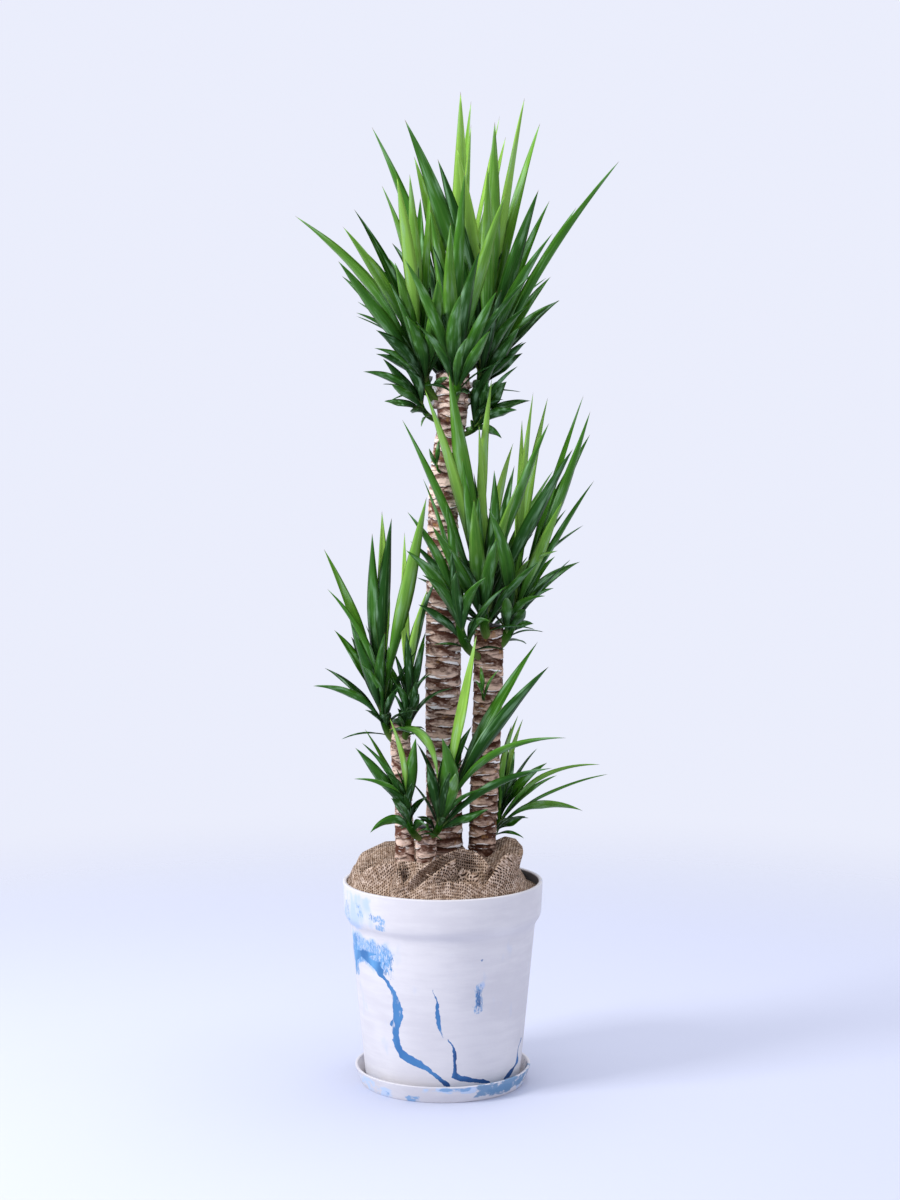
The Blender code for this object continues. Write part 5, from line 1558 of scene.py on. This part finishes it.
def jute_finish():
    """Coarse weave from the lengths along the threads: over and under, with gaps that open and close, and
    painted shade in the gaps and dips.
    """
    s = Shader("burlap", 0.92, 0.1)
    place = s.place()
    waves = []
    for name, lane in (("warp", 3.0), ("weft", 8.0)):
        length = s.attribute(name)
        waver = s.noise(s.vector(length * 60.0, lane, 0.0), 1.0, 3.0, 0.7)
        line = length * (1 / THREAD) + (waver * 1.3 + s.noise(place, 26.0 + lane) * 1.2)
        waves.append(s.math("SINE", line * math.pi))
    top = s.math("MAXIMUM", *map(abs, waves))
    fuzz = s.noise(place, 900.0)
    tones = s.noise(place, 150.0, 3.0, 0.65)
    open_to = s.band(s.noise(place, 30.0), 0.34, 0.66, 0.44, 0.78)
    # The gaps take the soil's dark, deepened as painted shade
    gap = s.band(top + tones.swing(0.35), open_to - 0.12, open_to + 0.12, 1.0, 0.0)
    # Painted light and shade on the weave: each thread is lighter on its crown than in the dips
    shade = tones * 0.8 + top * 0.35 + fuzz.swing(0.4)
    colour = s.mix(gap, s.ramp(s.band(shade, 0.35, 1.0), JUTE), JUTE_GAP_SOIL_AND_SHADE)
    weave = top + waves[0] * waves[1] * 0.35
    return s.finish(base_color=colour, normal=s.bump(weave + fuzz * 0.25, 0.0011, 0.9))


# Pot and saucer


def rounded(profile, sizes, closed=False):
    """The profile with each corner cut to a short curve."""
    made = []
    for k, corner in enumerate(profile):
        here = Vector(corner)
        if not closed and k in (0, len(profile) - 1):
            made.append(here)
            continue
        cuts = []
        for other in (profile[k - 1], profile[(k + 1) % len(profile)]):
            away = Vector(other) - here
            cuts.append(here + away.normalized() * min(sizes[k], 0.45 * away.length))
        made += [bent(cuts[0], here, cuts[1], step / EDGE_STEPS) for step in range(EDGE_STEPS + 1)]
    return made


def lathe(name, profile, finish, closed=False):
    """A turned piece in place of the CAD node of the same name."""
    corners, faces = skin([circle(r, z, POT_SIDES) for r, z in profile], closed)
    made = Skin()
    made.add(corners, [face[::-1] for face in faces])
    made.piece(f"{name}_smooth", finish, name, name)


def make_saucer(finish):
    profile = (
        (SAUCER_FOOT_R - SAUCER_INWARD, 0.0),
        (SAUCER_FOOT_R, 0.0),
        (SAUCER_TOP_R, SAUCER_HEIGHT),
        (SAUCER_TOP_R - SAUCER_WALL, SAUCER_HEIGHT),
        (POT_FOOT_R + SEAT_ROOM, SAUCER_FLOOR),
        (POT_FOOT_R - SAUCER_INWARD, SAUCER_FLOOR),
    )
    lathe("saucer", rounded(profile, [SAUCER_EDGE] * len(profile)), finish)


def make_pot(finish):
    foot = SAUCER_FLOOR + GAP
    floor = foot + POT_FLOOR
    profile = (
        (POT_FOOT_R, foot),
        (SHOULDER_R, SHOULDER_Z),
        (RIM_R - RIM_DRAFT, RIM_FOOT),
        (RIM_R, RIM_TOP),
        (RIM_R - LIP, RIM_TOP),
        (RIM_R - LIP, RIM_FOOT + POT_WALL),
        (SHOULDER_R - POT_WALL, SHOULDER_Z - COVE),
        (POT_FOOT_R - COVE, floor + COVE),
        (POT_FOOT_R - 2 * COVE, floor),
        (DRAIN_R, floor),
        (DRAIN_R, foot + RECESS),
        (POT_FOOT_R - FOOT_RING, foot + RECESS),
        (POT_FOOT_R - FOOT_RING, foot),
    )
    sizes = [POT_EDGE] * len(profile)
    sizes[1] = sizes[2] = POT_SHOULDER_EDGE
    lathe("pot", rounded(profile, sizes, closed=True), finish, closed=True)


def vein(s, bearing, height, swell, line, half):
    """1 inside a painted vein given as bearings over heights with a half width in mm."""
    line = sorted(line, key=lambda row: row[1])
    low, high = line[0][1], line[-1][1]
    first, last = min(line)[0], max(line)[0]
    share = s.math("DIVIDE", height - low, high - low, clamp=True)
    middle = s.curve(share, [((z - low) / (high - low), (b - first) / (last - first)) for b, z in line])
    widths = []
    for z, wide in sorted(half):
        k = max(1, min(len(line) - 1, sum(1 for row in line if row[1] < z)))
        (b0, z0), (b1, z1) = line[k - 1], line[k]
        radius = POT_FOOT_R + (SHOULDER_R - POT_FOOT_R) * z * CM / SHOULDER_Z
        slope = math.radians(b1 - b0) * radius / ((z1 - z0) * CM)
        widths.append((z, math.degrees(wide * MM * math.hypot(1, slope) / radius)))
    most = max(w for _, w in widths)
    wide = s.curve(share, [(min(1.0, max(0.0, (z - low) / (high - low))), w / most) for z, w in widths])
    away = abs(bearing - (middle * (last - first) + first)) - wide * most * swell
    ends = s.band(height, low - 0.25, low) * s.band(height, high + 0.4, high)
    return s.band(away, 0.22, -0.12) * ends


def patch(s, bearing, height, first, last, low, high, soft=5.0, rim=0.9):
    """1 inside a range of bearings and heights, with soft edges."""
    sides = s.window(bearing, first, last, min(soft, 0.3 * (last - first)))
    return sides * s.window(height, low, high, min(rim, 0.3 * (high - low)))


def painted(s, colour, grain, area, cover, edge, most, paint):
    """The colour under paint that covers this share of the area, in the spots that the grain picks."""
    limit = PAINT_LIMIT - PAINT_COVER * cover
    kept = s.band(grain + (area - 1.0) * PAINT_FADE, limit - edge, limit + edge)
    return s.mix(kept * most, colour, paint)


def round_the_pot(s):
    """Bearing in degrees from the side shown and height in cm, each with a hand-made waver."""
    place = s.place()
    x, y, z = s.split(place)
    bearing = s.math("ARCTAN2", x, y * -1.0) * (180 / math.pi)
    for scale, size in ((28.0, 4.0), (120.0, 1.6)):
        bearing += s.noise(place, scale, 3.0, 0.6).swing(size)
    return place, bearing, z * 100.0 + s.noise(place, 60.0, 3.0, 0.6).swing(0.5)


def chalk(s, place):
    """White chalky body with faint clouds, brush marks and pits, as a colour and its relief."""
    clouds = s.noise(place, 9.0, 4.0, 0.55)
    marks = s.noise(place, 14.0, 3.0, 0.6, squash=7.0)
    colour = s.mix(s.band(clouds * 0.6 + marks * 0.4, 0.38, 0.64), CHALK_SHADE, CHALK)
    relief = clouds + marks * 0.4 + s.noise(place, 220.0) * 0.2
    return colour, s.bump(relief, 0.0012, 0.5)


def pot_finish():
    """Chalk with pale washes and dry-brushed paint, veins over them, and a dark inside."""
    s = Shader("pot", 0.62)
    place, bearing, height = round_the_pot(s)
    colour, relief = chalk(s, place)
    strokes = s.noise(place, 90.0, 3.0, 0.65, squash=0.25)
    grain = s.noise(place, 380.0, 4.0, 0.75, squash=0.36)
    aside = bearing + s.noise(place, 17.0, 3.0, 0.6).swing(22.0)
    raised = height + s.noise(place, 23.0, 3.0, 0.6).swing(3.5)
    broad = s.noise(place, 34.0, squash=0.5)
    for *span, cover in WASHES:
        area = patch(s, aside, raised, *span)
        colour = painted(s, colour, broad, area, cover, 0.14, 0.85, BLUE_PALE)
    for *span, cover, paint in BRUSHED:
        wide = span[1] - span[0] > NARROW_PATCH
        area = patch(s, *((aside, raised) if wide else (bearing, height)), *span)
        tint = s.mix(s.band(strokes, 0.42, 0.72), *POT_PAINTS[paint])
        colour = painted(s, colour, grain, area, cover, 0.09, 0.8, tint)
    swell = s.band(s.noise(place, 45.0), 0.3, 0.7, 1 - 0.45 * VEIN_SWELL, 1 + 0.45 * VEIN_SWELL)
    ragged = bearing + s.noise(place, 240.0, 2.0, 0.7, squash=0.4).swing(2 * VEIN_RAG)
    dry = s.band(strokes, 0.44, 0.36) * patch(s, bearing, height, *DRY_STRETCH, 2.5, 2.0)
    light = s.mix(s.band(height, 17.0, 22.0), s.mix(0.4, BLUE, BLUE_LIGHT), BLUE_LIGHT)
    lit = s.mix(s.band(broad, 0.28, 0.74), BLUE, light)
    lit = s.mix(s.band(height, 4.4, 3.0), lit, BLUE_DEEP)
    deep = s.mix(s.band(broad, 0.34, 0.52), BLUE_DEEP, BLUE)
    deep = s.mix(s.band(height, 4.4, 3.2, 0.0, 0.8), deep, BLUE_DEEP)
    for name, (line, half) in VEINS.items():
        inside = vein(s, ragged, height, swell, line, half) * s.math("SUBTRACT", 1.0, dry * 0.75)
        colour = s.mix(inside, colour, deep if name in DEEP_VEINS else lit)
    z = s.split(place)[2]
    inner = s.band(s.off_axis(place), RIM_R - 0.8 * LIP, RIM_R - LIP)
    inner *= s.band(z, RIM_FOOT + 0.002, RIM_FOOT + 0.006)
    inner *= s.band(z, RIM_TOP - 0.0005, RIM_TOP - 0.003)
    return s.finish(base_color=s.mix(inner, colour, POT_INSIDE), normal=relief)


def saucer_finish():
    """Chalk with marbling in four paints."""
    s = Shader("saucer", 0.6)
    place, bearing, height = round_the_pot(s)
    colour, relief = chalk(s, place)
    grain = s.noise(place, 42.0, 3.0, 0.62, squash=1.6)
    for *span, cover, paint in SAUCER_MARKS:
        area = patch(s, bearing, height, *span, 4.0, 0.5)
        colour = painted(s, colour, grain, area, cover, 0.07, 0.92, SAUCER_PAINTS[paint])
    return s.finish(base_color=colour, normal=relief)


def plain_finish(name, tones, scale, roughness, relief):
    """Two tones in a grain of one scale."""
    s = Shader(name, roughness)
    grain = s.noise(s.place(), scale, 4.0, 0.6)
    return s.finish(base_color=s.mix(s.band(grain, 0.35, 0.65), *tones), normal=s.bump(grain, relief, 0.8))


# Light, floor and camera


def make_stage():
    """A pale floor that fades into the pale surroundings, soft light and the camera."""
    scene = bpy.context.scene
    scene.view_settings.view_transform = "Standard"
    s = Shader("floor", 0.9)
    fade = s.band(s.off_axis(s.place()), FADE_FROM, FADE_TO, 1.0, 0.0)
    mesh = bpy.data.meshes.new("floor")
    corners = [(FLOOR * x, FLOOR * y, 0) for x, y in ((-1, -1), (1, -1), (1, 1), (-1, 1))]
    mesh.from_pydata(corners, [], [(0, 1, 2, 3)])
    mesh.materials.append(s.finish(base_color=(*FLOOR_COLOUR, 1), alpha=fade))
    floor = linked("floor", mesh)
    world = bpy.data.worlds.new("world")
    world.use_nodes = True
    background = world.node_tree.nodes["Background"].inputs
    background[0].default_value = (*SKY, 1)
    background[1].default_value = SKY_STRENGTH
    scene.world = world
    for name, place, aim, size, power in LAMPS:
        light = bpy.data.lights.new(name, "AREA")
        light.size = size
        light.energy = power
        lamp = linked(name, light)
        lamp.location = place
        lamp.rotation_euler = (Vector(aim) - Vector(place)).to_track_quat("-Z", "Y").to_euler()
    data = bpy.data.cameras.new("camera")
    data.lens = LENS
    data.sensor_width = SENSOR
    camera = linked("camera", data)
    camera.location = EYE
    camera.rotation_euler = (math.radians(90 - TILT_DOWN), 0, 0)
    scene.camera = camera


def main():
    make_stage()
    blades = plan_leaves()
    leaf = leaf_finish()
    for name, head in HEADS.items():
        make_head(name, head, blades[name], leaf)
    bark = bark_finish()
    for seed, (name, rows) in enumerate(CANES.items()):
        fine_cane(name, rows, bark, 10 * seed)
    make_stubs(bark)
    jute = jute_finish()
    cloth = make_cloth(jute)
    threads = make_threads(jute)
    make_pot(pot_finish())
    make_saucer(saucer_finish())
    soil = plain_finish("soil", SOIL_TONES, 160.0, 0.95, 0.003)
    seal = plain_finish("seal", SEAL_TONES, 60.0, 0.45, 0.001)
    for name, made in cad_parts.items():
        if name == "soil" or name.startswith("seal"):
            for holder in made.material_slots:
                holder.material = soil if name == "soil" else seal


main()
